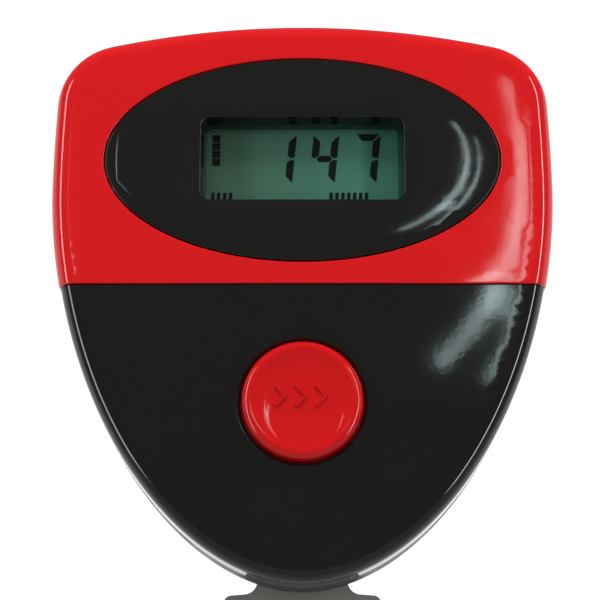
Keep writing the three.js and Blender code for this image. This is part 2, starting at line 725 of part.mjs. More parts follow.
// A shape drawn on the level foot, [x, backwards from its centre], pushed from low to high.
function upright(shape, [low, high]) {
  const options = { depth: high - low, bevelEnabled: false, curveSegments: 5 };
  const geometry = new THREE.ExtrudeGeometry(shape, options);
  geometry.translate(0, 0, low);
  geometry.applyMatrix4(new THREE.Matrix4().makeBasis(
    new THREE.Vector3(1, 0, 0),
    new THREE.Vector3(0, LEVEL.x, LEVEL.y),
    new THREE.Vector3(0, UPWARD.x, UPWARD.y),
  ));
  const middle = footCentre();
  geometry.translate(0, middle.x, middle.y);
  return solid(geometry);
}

function bracket() {
  let body = strip(sideProfile(), FLANGE_HALF);
  body = cut(body, [neckCut(-1), neckCut(1)]);
  body = union([body, ear(-1), ear(1)]);
  const footprint = roundedRectangle(FLANGE_HALF + 1, FOOT_LENGTH, FOOT_CORNER + 1, -FOOT_LENGTH / 2);
  body = body.intersect(upright(footprint, [-1, FAR]));
  const holes = BRACKET_SCREWS.map((at) => rod(BRACKET_HOLE, at, [TONGUE_BACK - 1, TONGUE_FRONT + 1], 18));
  for (const side of [-1, 1]) {
    const circle = new THREE.Shape();
    circle.absarc(0, (side * FOOT_HOLE_SPACING) / 2, FOOT_HOLE, 0, Math.PI * 2);
    holes.push(upright(circle, [-1, SHEET + 1]));
  }
  return cut(body, holes);
}

// Middle of the foot's underside, in the side view.
function footCentre() {
  const outside = BEND_INSIDE + SHEET;
  return BEND_CENTRE.clone().addScaledVector(UPWARD, -outside).addScaledVector(LEVEL, FOOT_LENGTH / 2);
}

function washer(at) {
  const seat = TONGUE_BACK - GAP;
  return turned([
    [BRACKET_HOLE, seat],
    [BRACKET_HOLE, seat - WASHER_THICKNESS],
    [WASHER_RADIUS, seat - WASHER_THICKNESS],
    [WASHER_RADIUS, seat],
    [BRACKET_HOLE, seat],
  ], at, 24);
}

// ---- assembly -----------------------------------------------------------------------------
const faceFrame = new THREE.Group();

function place(name, body, material) {
  const mesh = new THREE.Mesh(geometryOf(body), material);
  mesh.name = name;
  faceFrame.add(mesh);
}

place('front_shell', frontShell(), satinBlack);
place('top_cover', topCover(), red);
place('display_bezel', displayBezel(), glossBlack);
place('display_window', centredPlate(WINDOW_HALF[0] + 0.8, WINDOW_HALF[1] + 0.8, PANE), clear);
place('lcd_front_glass', centredPlate(GLASS_HALF[0], GLASS_HALF[1], FRONT_GLASS), lcdGlass);
place('lcd_back_glass', centredPlate(GLASS_HALF[0], GLASS_HALF[1] - 3, BACK_GLASS), lcdGlass);
place('lcd_reflector', centredPlate(GLASS_HALF[0] - 0.5, GLASS_HALF[1] - 3.5, REFLECTOR), foil);
place('lcd_frame', lcdFrame(), whitePlastic);
place('zebra_strip_upper', zebraStrip(1), rubber);
place('zebra_strip_lower', zebraStrip(-1), rubber);
place('circuit_board', circuitBoard(), board);
place('chip_blob', chipBlob(), epoxy);
place('quartz_crystal', quartzCrystal(), nickel);
CAPACITORS.forEach((spot, i) => place(`capacitor_${i + 1}`, capacitor(spot), epoxy));
place('sensor_jack', sensorJack(), satinBlack);
place('mode_button', modeButton(), red);
place('button_dome', buttonDome(), rubber);
place('contact_pill', rod(PILL.radius, [0, BUTTON_Y], PILL.depths, 16), carbon);
place('rear_shell', rearShell(), satinBlack);
place('battery_door', batteryDoor(), satinBlack);
place('battery_cell', batteryCell(), cellWrap);
place('battery_spring', batterySpring(), nickel);
place('battery_contact', contactPlate(1), nickel);
place('battery_lead_positive', batteryLead(1), redLead);
place('battery_lead_negative', batteryLead(-1), blackLead);
BOARD_SCREWS.forEach((spot, i) => {
  place(`board_screw_${i + 1}`, screw(BOARD_SCREW, BOARD_BACK - GAP, spot, 14), steel);
});
CASE_SCREWS.forEach((spot, i) => {
  place(`case_screw_${i + 1}`, screw(CASE_SCREW, COUNTERBORE_FLOOR - GAP, spot, 16), steel);
});
place('bracket', bracket(), paintedSheet);
const bracketSeat = TONGUE_BACK - WASHER_THICKNESS - GAP * 2;
BRACKET_SCREWS.forEach((spot, i) => {
  place(`bracket_screw_${i + 1}`, screw(BRACKET_SCREW, bracketSeat, spot, 18), steel);
  place(`bracket_washer_${i + 1}`, washer(spot), steel);
});

// Stand the face frame on the foot: lean it back and bring the foot's centre to the origin.
const group = new THREE.Group();
faceFrame.rotation.x = Math.PI / 2 - LEAN;
const foot = new THREE.Vector3(0, footCentre().x, footCentre().y).applyEuler(faceFrame.rotation);
faceFrame.position.copy(foot).negate();
group.add(faceFrame);
group.updateMatrixWorld(true);

export default group;
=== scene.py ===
import json
import math

import bmesh
import bpy
import numpy as np
from mathutils import Matrix, Vector
from mathutils.geometry import delaunay_2d_cdt


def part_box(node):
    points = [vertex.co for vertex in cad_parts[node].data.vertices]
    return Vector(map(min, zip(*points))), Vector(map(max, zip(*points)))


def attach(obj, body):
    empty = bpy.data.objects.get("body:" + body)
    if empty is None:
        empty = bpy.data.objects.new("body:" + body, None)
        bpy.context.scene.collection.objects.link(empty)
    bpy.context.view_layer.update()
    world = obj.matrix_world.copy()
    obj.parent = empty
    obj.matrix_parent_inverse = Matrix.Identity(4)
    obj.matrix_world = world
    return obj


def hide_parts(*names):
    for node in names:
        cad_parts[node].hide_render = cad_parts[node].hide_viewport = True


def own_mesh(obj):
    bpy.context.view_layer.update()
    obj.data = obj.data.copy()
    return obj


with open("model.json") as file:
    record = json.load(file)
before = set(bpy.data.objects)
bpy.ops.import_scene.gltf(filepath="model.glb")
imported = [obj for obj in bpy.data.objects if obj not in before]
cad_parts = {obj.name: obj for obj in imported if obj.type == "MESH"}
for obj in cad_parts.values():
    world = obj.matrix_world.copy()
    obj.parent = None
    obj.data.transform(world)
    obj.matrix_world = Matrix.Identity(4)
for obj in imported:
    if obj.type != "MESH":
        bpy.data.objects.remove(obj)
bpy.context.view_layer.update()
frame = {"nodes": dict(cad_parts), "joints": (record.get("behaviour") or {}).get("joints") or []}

MM = 0.001
joints = {joint["name"]: joint for joint in frame["joints"]}

# ---- the case's driving dimensions, as the part has them ------------------------------------
HALF_WIDTH = 55
TOP_RISE = 38.6
BOTTOM_DROP = 86.3
LOWER_POWER = 1.9
SIDE_RADIUS = 350
TOP_RADIUS = 200
CORNER_RADIUS = 15
CASE_DEPTH = 25
PARTING = 10
WALL = 2
GAP = 0.3
EDGE_RADIUS = 4
BACK_EDGE = 7
STEP_IN = 0.35
SEAM_Y = -21.9
COVER_WALL = 1.8
COVER_PROUD = 0.3
DISPLAY_Y = 6.4
OVAL_HALF = (43.2, 23.2)
WINDOW_HALF = (22.2, 9.5)
WINDOW_CORNER = 2.2
WINDOW_DRAFT = 1.0
TUNNEL_END = 4.6
GLASS_FRONT = -5.9
BUTTON_Y = -47.7
BUTTON_RADIUS = 12.9
BUTTON_HEIGHT = 1.9
BUTTON_DISH = 0.7
BUTTON_HOLE = 13.25
BUTTON_CHAMFER = 1.05
CASE_SCREWS = ((-43, 14), (43, 14), (-24, -66), (24, -66))
BRACKET_SCREWS = ((0, -50), (0, -68))
JACK = (22, -30)
CELL_Y = 6
BAY_HALF = (26.3, 6)
BAY_FLOOR = 11
DOOR_HALF_WIDTH = 27.7
DOOR_THICKNESS = 2.2
DOOR_TOP = 17
HINGE_Y = -4
POCKET_LOW = HINGE_Y - 2.6              # lower edge of the door's pocket
SHEET = 2
NECK_HALF = 9.9
FLANGE_HALF = 17.4
SHOULDER_Y = -85.6
BEND_Y = -100
BEND_INSIDE = 3
TONGUE_TOP = -40
FOOT_LENGTH = 42
FOOT_CORNER = 4
FOOT_HOLE = 2.75
FOOT_HOLE_SPACING = 22

# The button's joint gives the face's lean and place: it slides straight into the face.
press = joints["mode_button_press"]
LEAN = math.asin(-press["axis"][2])
TURN = Matrix.Rotation(math.pi / 2 - LEAN, 4, "X")
ORIGIN = Vector(press["pos_m"]) - TURN @ Vector((0, BUTTON_Y * MM, 0))
FACE = Matrix.Translation(ORIGIN) @ TURN @ Matrix.Scale(MM, 4)


# ---- camera ---------------------------------------------------------------------------------
CAMERA_BELOW = math.radians(15)      # the camera looks from this far below the face's normal
CAMERA_DISTANCE = 420
CAMERA_AIM = (-0.54, -25.6, 0)
CAMERA_LENS = 117.5

sight = Vector((0, -math.sin(CAMERA_BELOW), math.cos(CAMERA_BELOW)))
camera_data = bpy.data.cameras.new("camera")
camera_data.lens = CAMERA_LENS
camera_data.sensor_width = 36
camera = bpy.data.objects.new("camera", camera_data)
bpy.context.scene.collection.objects.link(camera)
camera.location = FACE @ (Vector(CAMERA_AIM) + sight * CAMERA_DISTANCE)
camera.rotation_euler = (math.pi / 2 - (LEAN - CAMERA_BELOW), 0, 0)
bpy.context.scene.camera = camera


# ---- materials ------------------------------------------------------------------------------
def shade(name, color, roughness, *, vary=0.08, rough_vary=0.012, cloud=90, grain=1800,
          bump=0.03, depth=0.00005, **sockets):
    """A principled material whose colour and roughness drift a little and whose surface has grain."""
    mat = bpy.data.materials.new(name)
    mat.use_nodes = True
    nodes = mat.node_tree.nodes
    link = mat.node_tree.links.new
    shader = nodes["Principled BSDF"]
    for socket, value in sockets.items():
        shader.inputs[socket].default_value = value
    coords = nodes.new("ShaderNodeTexCoord")
    drift = nodes.new("ShaderNodeTexNoise")
    drift.inputs["Scale"].default_value = cloud
    drift.inputs["Detail"].default_value = 4
    link(coords.outputs["Object"], drift.inputs["Vector"])
    tint = nodes.new("ShaderNodeMix")
    tint.data_type = "RGBA"
    tint.inputs["A"].default_value = (*[c * (1 - vary) for c in color], 1)
    tint.inputs["B"].default_value = (*[min(1, c * (1 + vary)) for c in color], 1)
    link(drift.outputs["Fac"], tint.inputs["Factor"])
    link(tint.outputs["Result"], shader.inputs["Base Color"])
    smear = nodes.new("ShaderNodeTexNoise")
    smear.inputs["Scale"].default_value = cloud * 2.3
    smear.inputs["Detail"].default_value = 6
    link(coords.outputs["Object"], smear.inputs["Vector"])
    spread = nodes.new("ShaderNodeMapRange")
    spread.inputs["From Min"].default_value = 0.3
    spread.inputs["From Max"].default_value = 0.7
    spread.inputs["To Min"].default_value = max(0.0, roughness - rough_vary)
    spread.inputs["To Max"].default_value = roughness + rough_vary
    link(smear.outputs["Fac"], spread.inputs["Value"])
    link(spread.outputs["Result"], shader.inputs["Roughness"])
    fine = nodes.new("ShaderNodeTexNoise")
    fine.inputs["Scale"].default_value = grain
    fine.inputs["Detail"].default_value = 3
    link(coords.outputs["Object"], fine.inputs["Vector"])
    relief = nodes.new("ShaderNodeBump")
    relief.inputs["Strength"].default_value = bump
    relief.inputs["Distance"].default_value = depth
    link(fine.outputs["Fac"], relief.inputs["Height"])
    link(relief.outputs["Normal"], shader.inputs["Normal"])
    return mat


RED = shade("red_abs", (0.68, 0.006, 0.008), 0.045, vary=0.05, cloud=45, grain=700, bump=0.05)
BUTTON_RED = shade("button_red", (0.62, 0.004, 0.005), 0.05, vary=0.05, cloud=70, grain=700, bump=0.05)
BLACK = shade("gloss_black_abs", (0.0055, 0.0055, 0.005), 0.045, vary=0.15, cloud=45, grain=700, bump=0.05)
BEZEL = shade("bezel_black", (0.0065, 0.0065, 0.0058), 0.045, vary=0.15, cloud=45, grain=700, bump=0.04)
BACK = shade("textured_black_abs", (0.016, 0.016, 0.016), 0.42, rough_vary=0.07, grain=1500, bump=0.5,
             depth=0.00012)
PANE = shade("clear_pane", (0.05, 0.06, 0.06), 0.04, vary=0.05, bump=0.01, **{"Alpha": 0.05})
FOIL = shade("reflector", (0.5, 0.55, 0.5), 0.4, Metallic=0.6)
WHITE = shade("white_plastic", (0.72, 0.72, 0.69), 0.5)
SILICONE = shade("silicone", (0.55, 0.55, 0.52), 0.6, **{"Subsurface Weight": 0.1})
BOARD = shade("solder_mask", (0.015, 0.13, 0.05), 0.35, vary=0.2, cloud=200)
EPOXY = shade("black_epoxy", (0.01, 0.01, 0.01), 0.25)
CARBON = shade("carbon_rubber", (0.012, 0.012, 0.012), 0.8)
CELL = shade("cell_sleeve", (0.02, 0.10, 0.34), 0.25, vary=0.1)
NICKEL = shade("nickel", (0.66, 0.63, 0.56), 0.25, rough_vary=0.08, Metallic=1.0)
RED_LEAD = shade("red_lead", (0.42, 0.01, 0.01), 0.45)
BLACK_LEAD = shade("black_lead", (0.01, 0.01, 0.01), 0.45)
STEEL = shade("zinc_steel", (0.55, 0.55, 0.53), 0.28, rough_vary=0.1, cloud=300, grain=2500,
              bump=0.2, Metallic=1.0)
GREY = shade("powder_coat", (0.215, 0.225, 0.205), 0.36, vary=0.1, rough_vary=0.08, cloud=120, grain=1600,
             bump=0.45, depth=0.00015, **{"Coat Weight": 0.15})
INK = shade("lcd_segment", (0.0015, 0.005, 0.0035), 0.4, **{"Specular IOR Level": 0.1})
LCD = shade("lcd_polariser", (0.052, 0.125, 0.088), 0.3, vary=0.12, rough_vary=0.05, cloud=35, grain=2600,
            bump=0.06, **{"Specular IOR Level": 0.3})


def paint_sheen_across(mat, left, right, reach):
    """Paints a sheen into a material's colour: it drifts from left to right across the part, by object
    coordinates.
    """
    nodes = mat.node_tree.nodes
    link = mat.node_tree.links.new
    shader = nodes["Principled BSDF"]
    clouds = shader.inputs["Base Color"].links[0].from_socket
    coords = nodes.new("ShaderNodeTexCoord")
    parts = nodes.new("ShaderNodeSeparateXYZ")
    place = nodes.new("ShaderNodeMapRange")
    drift = nodes.new("ShaderNodeMix")
    blend = nodes.new("ShaderNodeMix")
    link(coords.outputs["Object"], parts.inputs["Vector"])
    link(parts.outputs["X"], place.inputs["Value"])
    place.inputs["From Min"].default_value = -reach
    place.inputs["From Max"].default_value = reach
    drift.data_type = blend.data_type = "RGBA"
    link(place.outputs["Result"], drift.inputs["Factor"])
    drift.inputs["A"].default_value = (*left, 1)
    drift.inputs["B"].default_value = (*right, 1)
    blend.inputs["Factor"].default_value = 0.65
    link(clouds, blend.inputs["A"])
    link(drift.outputs["Result"], blend.inputs["B"])
    link(blend.outputs["Result"], shader.inputs["Base Color"])


# painted sheen: the display's colour is painted lighter and greener towards its right side
paint_sheen_across(LCD, (0.078, 0.165, 0.105), (0.062, 0.32, 0.215), 0.021)

CAD_MATERIALS = {
    "lcd_back_glass": LCD, "lcd_reflector": FOIL, "lcd_frame": WHITE, "display_window": PANE,
    "zebra_strip_upper": SILICONE, "zebra_strip_lower": SILICONE, "button_dome": SILICONE,
    "circuit_board": BOARD, "chip_blob": EPOXY, "capacitor_1": EPOXY, "capacitor_2": EPOXY,
    "quartz_crystal": NICKEL, "contact_pill": CARBON, "battery_cell": CELL,
    "battery_spring": NICKEL, "battery_contact": NICKEL,
    "battery_lead_positive": RED_LEAD, "battery_lead_negative": BLACK_LEAD,
    "sensor_jack": BACK, "battery_door": BACK,
}


def dress_cad_nodes():
    """Gives every CAD node its procedural material and smooth shading, and three of them a soft edge."""
    for name, node in frame["nodes"].items():
        mat = CAD_MATERIALS.get(name, STEEL)
        node.data.materials.clear()
        node.data.materials.append(mat)
        node.data.shade_smooth()
        node.data.set_sharp_from_angle(angle=math.radians(28))
        if name in ("battery_door", "battery_cell", "lcd_frame"):
            soften(node, 0.25)


# ---- mesh tools -----------------------------------------------------------------------------
def soften(obj, width, segments=3, angle=40):
    """A small round on every edge sharper than the angle."""
    bevel = obj.modifiers.new("edge_round", "BEVEL")
    bevel.width = width * MM
    bevel.segments = segments
    bevel.limit_method = "ANGLE"
    bevel.angle_limit = math.radians(angle)
    bevel.use_clamp_overlap = True
    shading = obj.modifiers.new("even_shading", "WEIGHTED_NORMAL")
    shading.keep_sharp = True
    return obj


def finish_piece(name, bm, mat, body, nodes=(), thickness=0.0, bevel=0.0, sharp=30,
                 outward=(0, 0, 1)):
    """Turns a face-frame bmesh into a piece in the row frame that rides on its CAD body.

    A sheet that is thickened inwards says which way its outer side faces on the whole."""
    bmesh.ops.recalc_face_normals(bm, faces=bm.faces)
    if thickness:
        facing = sum((face.normal * face.calc_area() for face in bm.faces), Vector())
        if facing.dot(Vector(outward)) < 0:
            bmesh.ops.reverse_faces(bm, faces=bm.faces)
    mesh = bpy.data.meshes.new(name)
    bm.to_mesh(mesh)
    bm.free()
    mesh.transform(FACE)
    mesh.shade_smooth()
    mesh.set_sharp_from_angle(angle=math.radians(sharp))
    mesh.materials.append(mat)
    piece = bpy.data.objects.new(name, mesh)
    bpy.context.scene.collection.objects.link(piece)
    if thickness:
        solid = piece.modifiers.new("thickness", "SOLIDIFY")
        solid.thickness = thickness * MM
        solid.offset = -1
        solid.use_even_offset = True
        solid.use_quality_normals = True
    if bevel:
        soften(piece, bevel)
    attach(piece, body)
    if nodes:
        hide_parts(*nodes)
    return piece


CUT_SHARP = 35


def carve(piece, tool_bm):
    """Cuts a face-frame bmesh out of a finished piece, for good."""
    bmesh.ops.recalc_face_normals(tool_bm, faces=tool_bm.faces)
    mesh = bpy.data.meshes.new("tool")
    tool_bm.to_mesh(mesh)
    tool_bm.free()
    mesh.transform(FACE)
    tool = bpy.data.objects.new("tool", mesh)
    bpy.context.scene.collection.objects.link(tool)
    cut = piece.modifiers.new("cut", "BOOLEAN")
    cut.operation = "DIFFERENCE"
    cut.solver = "EXACT"
    cut.use_self = True
    cut.object = tool
    bpy.context.view_layer.update()
    baked = bpy.data.meshes.new_from_object(piece.evaluated_get(bpy.context.evaluated_depsgraph_get()))
    piece.modifiers.clear()
    piece.data = baked
    bpy.data.objects.remove(tool)
    baked.shade_smooth()
    baked.set_sharp_from_angle(angle=math.radians(CUT_SHARP))


def inside(points, loop):
    """Which of the points lie inside the closed loop (both are n x 2 arrays)."""
    result = np.zeros(len(points), bool)
    x, y = points[:, 0], points[:, 1]
    for (x0, y0), (x1, y1) in zip(loop, np.roll(loop, -1, axis=0)):
        crosses = (y0 > y) != (y1 > y)
        if not crosses.any():
            continue
        at = x0 + (y - y0) * (x1 - x0) / ((y1 - y0) or 1e-12)
        result ^= crosses & (x < at)
    return result


def fill_region(bm, loops, height, spacing, up=True):
    """A triangulated surface inside loops[0] and outside the rest, at height(x, y).

    Returns the vertices of each loop, in the loop's order, so that its edge can be carried on."""
    arrays = [np.array([(p[0], p[1]) for p in loop], float) for loop in loops]
    low, high = arrays[0].min(0), arrays[0].max(0)
    grid_x = np.arange(low[0] + spacing / 2, high[0], spacing)
    grid_y = np.arange(low[1] + spacing / 2, high[1], spacing)
    grid = np.array([(x, y) for y in grid_y for x in grid_x])
    keep = inside(grid, arrays[0])
    for hole in arrays[1:]:
        keep &= ~inside(grid, hole)
    rims = np.vstack(arrays)
    fence = np.vstack([
        array + (np.roll(array, -1, axis=0) - array) * share
        for array in arrays for share in (0, 0.25, 0.5, 0.75)
    ])
    for i, point in enumerate(grid):
        if keep[i] and np.min(np.hypot(*(fence - point).T)) < spacing * 0.6:
            keep[i] = False
    points = np.vstack([rims, grid[keep]])
    edges = []
    start = 0
    for array in arrays:
        count = len(array)
        edges += [(start + i, start + (i + 1) % count) for i in range(count)]
        start += count
    result = delaunay_2d_cdt([Vector(p) for p in points], edges, [], 0, 1e-6, True)
    places, _, faces, origins = result[0], result[1], result[2], result[3]
    flat = np.array([(p.x, p.y) for p in places])
    centres = np.array([flat[list(face)].mean(0) for face in faces])
    wanted = inside(centres, arrays[0])
    for hole in arrays[1:]:
        wanted &= ~inside(centres, hole)
    verts = [bm.verts.new((p.x, p.y, height(p.x, p.y))) for p in places]
    for face, use in zip(faces, wanted):
        if use:
            order = face if up else list(reversed(face))
            bm.faces.new([verts[i] for i in order])
    where = {source: i for i, sources in enumerate(origins) for source in sources}
    chains = []
    start = 0
    for array in arrays:
        chains.append([verts[where[start + i]] for i in range(len(array))])
        start += len(array)
    return chains


def carry_on(bm, chain, places, closed=True, flip=False):
    """Adds the next row of vertices beside a chain and the faces between; returns the new row."""
    row = [bm.verts.new(place) for place in places]
    count = len(chain)
    for i in range(count if closed else count - 1):
        j = (i + 1) % count
        quad = (chain[i], chain[j], row[j], row[i])
        bm.faces.new(tuple(reversed(quad)) if flip else quad)
    return row


def circle(centre, radius, count=48, start=0.0):
    step = 2 * math.pi / count
    return [
        (centre[0] + radius * math.cos(start + i * step), centre[1] + radius * math.sin(start + i * step))
        for i in range(count)
    ]


def ellipse(half_x, half_y, centre_y, count=160):
    step = 2 * math.pi / count
    return [(half_x * math.cos(i * step), centre_y + half_y * math.sin(i * step)) for i in range(count)]


SIDE_SPACING = 3.0


def rounded_rectangle(half_x, low_y, high_y, radius, arc_steps=6, side_steps=1):
    """Counter-clockwise outline of a rectangle with round corners, centred on x = 0."""
    corners = (
        (half_x - radius, high_y - radius, 0.0),
        (radius - half_x, high_y - radius, 90.0),
        (radius - half_x, low_y + radius, 180.0),
        (half_x - radius, low_y + radius, 270.0),
    )
    points = []
    for cx, cy, start in corners:
        for i in range(arc_steps + 1):
            angle = math.radians(start + 90.0 * i / arc_steps)
            points.append((cx + radius * math.cos(angle), cy + radius * math.sin(angle)))
    if side_steps < 2:
        return points
    dense = []
    for (x0, y0), (x1, y1) in zip(points, points[1:] + points[:1]):
        pieces = max(1, round(math.hypot(x1 - x0, y1 - y0) / SIDE_SPACING))
        dense += [(x0 + (x1 - x0) * i / pieces, y0 + (y1 - y0) * i / pieces) for i in range(pieces)]
    return dense


def turned(bm, profile, centre, segments=96):
    """A turned solid about the face's normal; the profile is [(radius, z)] from axis to axis."""
    rows = []
    for radius, z in profile:
        if radius < 1e-6:
            rows.append([bm.verts.new((centre[0], centre[1], z))])
        else:
            rows.append([bm.verts.new((x, y, z)) for x, y in circle(centre, radius, segments)])
    for one, two in zip(rows, rows[1:]):
        for i in range(segments):
            j = (i + 1) % segments
            if len(one) == 1:
                bm.faces.new((one[0], two[j], two[i]))
            elif len(two) == 1:
                bm.faces.new((one[i], one[j], two[0]))
            else:
                bm.faces.new((one[i], one[j], two[j], two[i]))


# ---- the case outline -----------------------------------------------------------------------
def corner_centre():
    """Where the shoulder's arc is centred, and the angles where it meets the side and top arcs."""
    side = Vector((HALF_WIDTH - SIDE_RADIUS, 0))
    top = Vector((0, TOP_RISE - TOP_RADIUS))
    to_side = SIDE_RADIUS - CORNER_RADIUS
    to_top = TOP_RADIUS - CORNER_RADIUS
    between = top - side
    span = between.length
    along = (span * span + to_side * to_side - to_top * to_top) / (2 * span)
    off = math.sqrt(to_side * to_side - along * along)
    axis = between / span
    centre = side + axis * along + Vector((-axis.y, axis.x)) * off
    side_angle = math.atan2(centre.y - side.y, centre.x - side.x)
    top_angle = math.atan2(centre.y - top.y, centre.x - top.x)
    return side, top, centre, side_angle, top_angle


SIDE, TOP, CORNER, SIDE_ANGLE, TOP_ANGLE = corner_centre()
SPANS = (0.0, 0.56, 0.66, 0.78, 1.0)      # shares of the half outline: lower, side, shoulder, top


def on_arc(centre, radius, start, end, share):
    angle = start + (end - start) * share
    return (centre.x + radius * math.cos(angle), centre.y + radius * math.sin(angle))


def outline_point(s, inset):
    """A point on the right half of the outline, moved in by inset; s is 0 at the bottom, 1 at the top."""
    if s <= SPANS[1]:
        angle = (s / SPANS[1] - 1) * math.pi / 2
        across = max(0.0, math.cos(angle)) ** (2 / LOWER_POWER)
        down = max(0.0, -math.sin(angle)) ** (2 / LOWER_POWER)
        normal = Vector((across ** (LOWER_POWER - 1) / HALF_WIDTH, -down ** (LOWER_POWER - 1) / BOTTOM_DROP))
        normal.normalize()
        return (HALF_WIDTH * across - normal.x * inset, -BOTTOM_DROP * down - normal.y * inset)
    if s <= SPANS[2]:
        share = (s - SPANS[1]) / (SPANS[2] - SPANS[1])
        return on_arc(SIDE, SIDE_RADIUS - inset, 0, SIDE_ANGLE, share)
    if s <= SPANS[3]:
        share = (s - SPANS[2]) / (SPANS[3] - SPANS[2])
        return on_arc(CORNER, CORNER_RADIUS - inset, SIDE_ANGLE, TOP_ANGLE, share)
    share = (s - SPANS[3]) / (SPANS[4] - SPANS[3])
    return on_arc(TOP, TOP_RADIUS - inset, TOP_ANGLE, math.pi / 2, share)


def crossing(y, inset):
    """The share of the half outline at which it reaches the height y."""
    low, high = 0.0, 1.0
    for _ in range(40):
        middle = (low + high) / 2
        if outline_point(middle, inset)[1] < y:
            low = middle
        else:
            high = middle
    return (low + high) / 2


def whole_outline(inset, count=120):
    right = [outline_point(i / count, inset) for i in range(count + 1)]
    left = [(-x, y) for x, y in reversed(right[1:-1])]
    return right + left


def upper_chain(inset, y, count=80):
    """The outline above y, from the right end over the top to the left end."""
    start = crossing(y, inset)
    right = [outline_point(start + (1 - start) * i / count, inset) for i in range(count + 1)]
    return right + [(-px, py) for px, py in reversed(right[:-1])]


def lower_chain(inset, y, count=80):
    """The outline below y, from the left end round the bottom to the right end."""
    end = crossing(y, inset)
    right = [outline_point(end * i / count, inset) for i in range(count + 1)]
    return [(-px, py) for px, py in reversed(right[1:])] + right


def straight(start, end, pieces):
    """Points between two places, without the two ends."""
    return [
        (start[0] + (end[0] - start[0]) * i / pieces, start[1] + (end[1] - start[1]) * i / pieces)
        for i in range(1, pieces)
    ]


CROWN_RADIUS = 5200
CROWN_Y = -24


def crown(x, y):
    """The faces are very slightly domed, so their reflections bend."""
    return -(x * x + (y - CROWN_Y) * (y - CROWN_Y)) / (2 * CROWN_RADIUS)


def skirt(bm, chain, ring_at, radius, steps=10):
    """Rolls a face's open edge over a quarter round and down to the parting line.

    ring_at(inset) gives the edge's places when the outline is moved in by that inset."""
    starts = [vert.co.z for vert in chain]
    row = chain
    for i in range(1, steps + 1):
        angle = math.pi / 2 * i / steps
        ring = ring_at(radius * (1 - math.sin(angle)))
        drop = radius * (1 - math.cos(angle))
        row = carry_on(bm, row, [(p[0], p[1], z - drop) for p, z in zip(ring, starts)], False, True)
    ring = ring_at(0.0)
    heights = [z - radius for z in starts]
    for share in (0.35, 1.0):
        places = [(p[0], p[1], h + (-PARTING - h) * share) for p, h in zip(ring, heights)]
        row = carry_on(bm, row, places, False, True)


# ---- front of the case ----------------------------------------------------------------------
FACE_SPACING = 2.6
SEAM_PIECES = 36
HOLE_SEGMENTS = 96
HOLE_DEPTH = 2.2
SEAT_WALL = 1.6
SEAT_LAP = 0.4             # the seat stops this far above the cover's lower edge
SEAT_OPENING = (WINDOW_HALF[0] + 1.7, 11.2)
SEAT_CORNER = 3.6


def top_cover():
    bm = bmesh.new()
    edge = upper_chain(EDGE_RADIUS, SEAM_Y)
    seam = straight(edge[-1], edge[0], SEAM_PIECES)
    hole = ellipse(OVAL_HALF[0] + GAP, OVAL_HALF[1] + GAP, DISPLAY_Y)
    rim, _ = fill_region(bm, [edge + seam, hole], lambda x, y: COVER_PROUD + crown(x, y),
                         FACE_SPACING)
    skirt(bm, rim[:len(edge)], lambda inset: upper_chain(inset, SEAM_Y), EDGE_RADIUS)
    return finish_piece("red_cover", bm, RED, "console", ["top_cover"], COVER_WALL, 0.3)


def front_shell():
    bm = bmesh.new()
    line = SEAM_Y - GAP
    edge = lower_chain(EDGE_RADIUS, line)
    seam = straight(edge[-1], edge[0], SEAM_PIECES)
    outer = BUTTON_HOLE + BUTTON_CHAMFER
    centre = (0, BUTTON_Y)
    hole = circle(centre, outer, HOLE_SEGMENTS)
    rim, row = fill_region(bm, [edge + seam, hole], crown, FACE_SPACING)
    skirt(bm, rim[:len(edge)], lambda inset: lower_chain(inset + STEP_IN, line), EDGE_RADIUS - STEP_IN)
    level = row[0].co.z
    profile = []
    for i in range(1, 9):
        angle = math.pi / 2 * i / 8
        profile.append((outer - BUTTON_CHAMFER * math.sin(angle), BUTTON_CHAMFER * (1 - math.cos(angle))))
    for radius, drop in profile + [(BUTTON_HOLE, HOLE_DEPTH)]:
        row = carry_on(bm, row, [(x, y, level - drop) for x, y in circle(centre, radius, HOLE_SEGMENTS)])
    return finish_piece("front_case", bm, BLACK, "console", ["front_shell"], WALL - 0.2, 0.22)


def cover_seat():
    """The part of the front shell that the red cover lies on, with the opening for the display."""
    bm = bmesh.new()
    base = COVER_PROUD - COVER_WALL - GAP
    inset = COVER_WALL + GAP
    radius = EDGE_RADIUS - COVER_WALL
    line = SEAM_Y + SEAT_LAP
    edge = upper_chain(inset + radius, line)
    seam = straight(edge[-1], edge[0], 20)
    half_x, half_y = SEAT_OPENING
    opening = rounded_rectangle(half_x, DISPLAY_Y - half_y, DISPLAY_Y + half_y, SEAT_CORNER, 5, 2)
    rim, _ = fill_region(bm, [edge + seam, opening], lambda x, y: base + crown(x, y), 5)
    skirt(bm, rim[:len(edge)], lambda more: upper_chain(inset + more, line), radius, 4)
    return finish_piece("cover_seat", bm, BLACK, "console", (), SEAT_WALL)


BEZEL_RISE = 0.75
BEZEL_FALL = 0.55
BEZEL_LIP = 0.35
BEZEL_FOOT = -1.4
MOUTH_RADIUS = 0.3


def bezel_height(x, y):
    """Domed oval: flat in the middle, falling towards the rim."""
    reach = (x / OVAL_HALF[0]) ** 2 + ((y - DISPLAY_Y) / OVAL_HALF[1]) ** 2
    return BEZEL_RISE - BEZEL_FALL * reach * reach


def window_outline(grow):
    """The window's outline, moved outwards by grow."""
    half_x, half_y = WINDOW_HALF[0] + grow, WINDOW_HALF[1] + grow
    return rounded_rectangle(half_x, DISPLAY_Y - half_y, DISPLAY_Y + half_y, WINDOW_CORNER + grow, 8, 2)


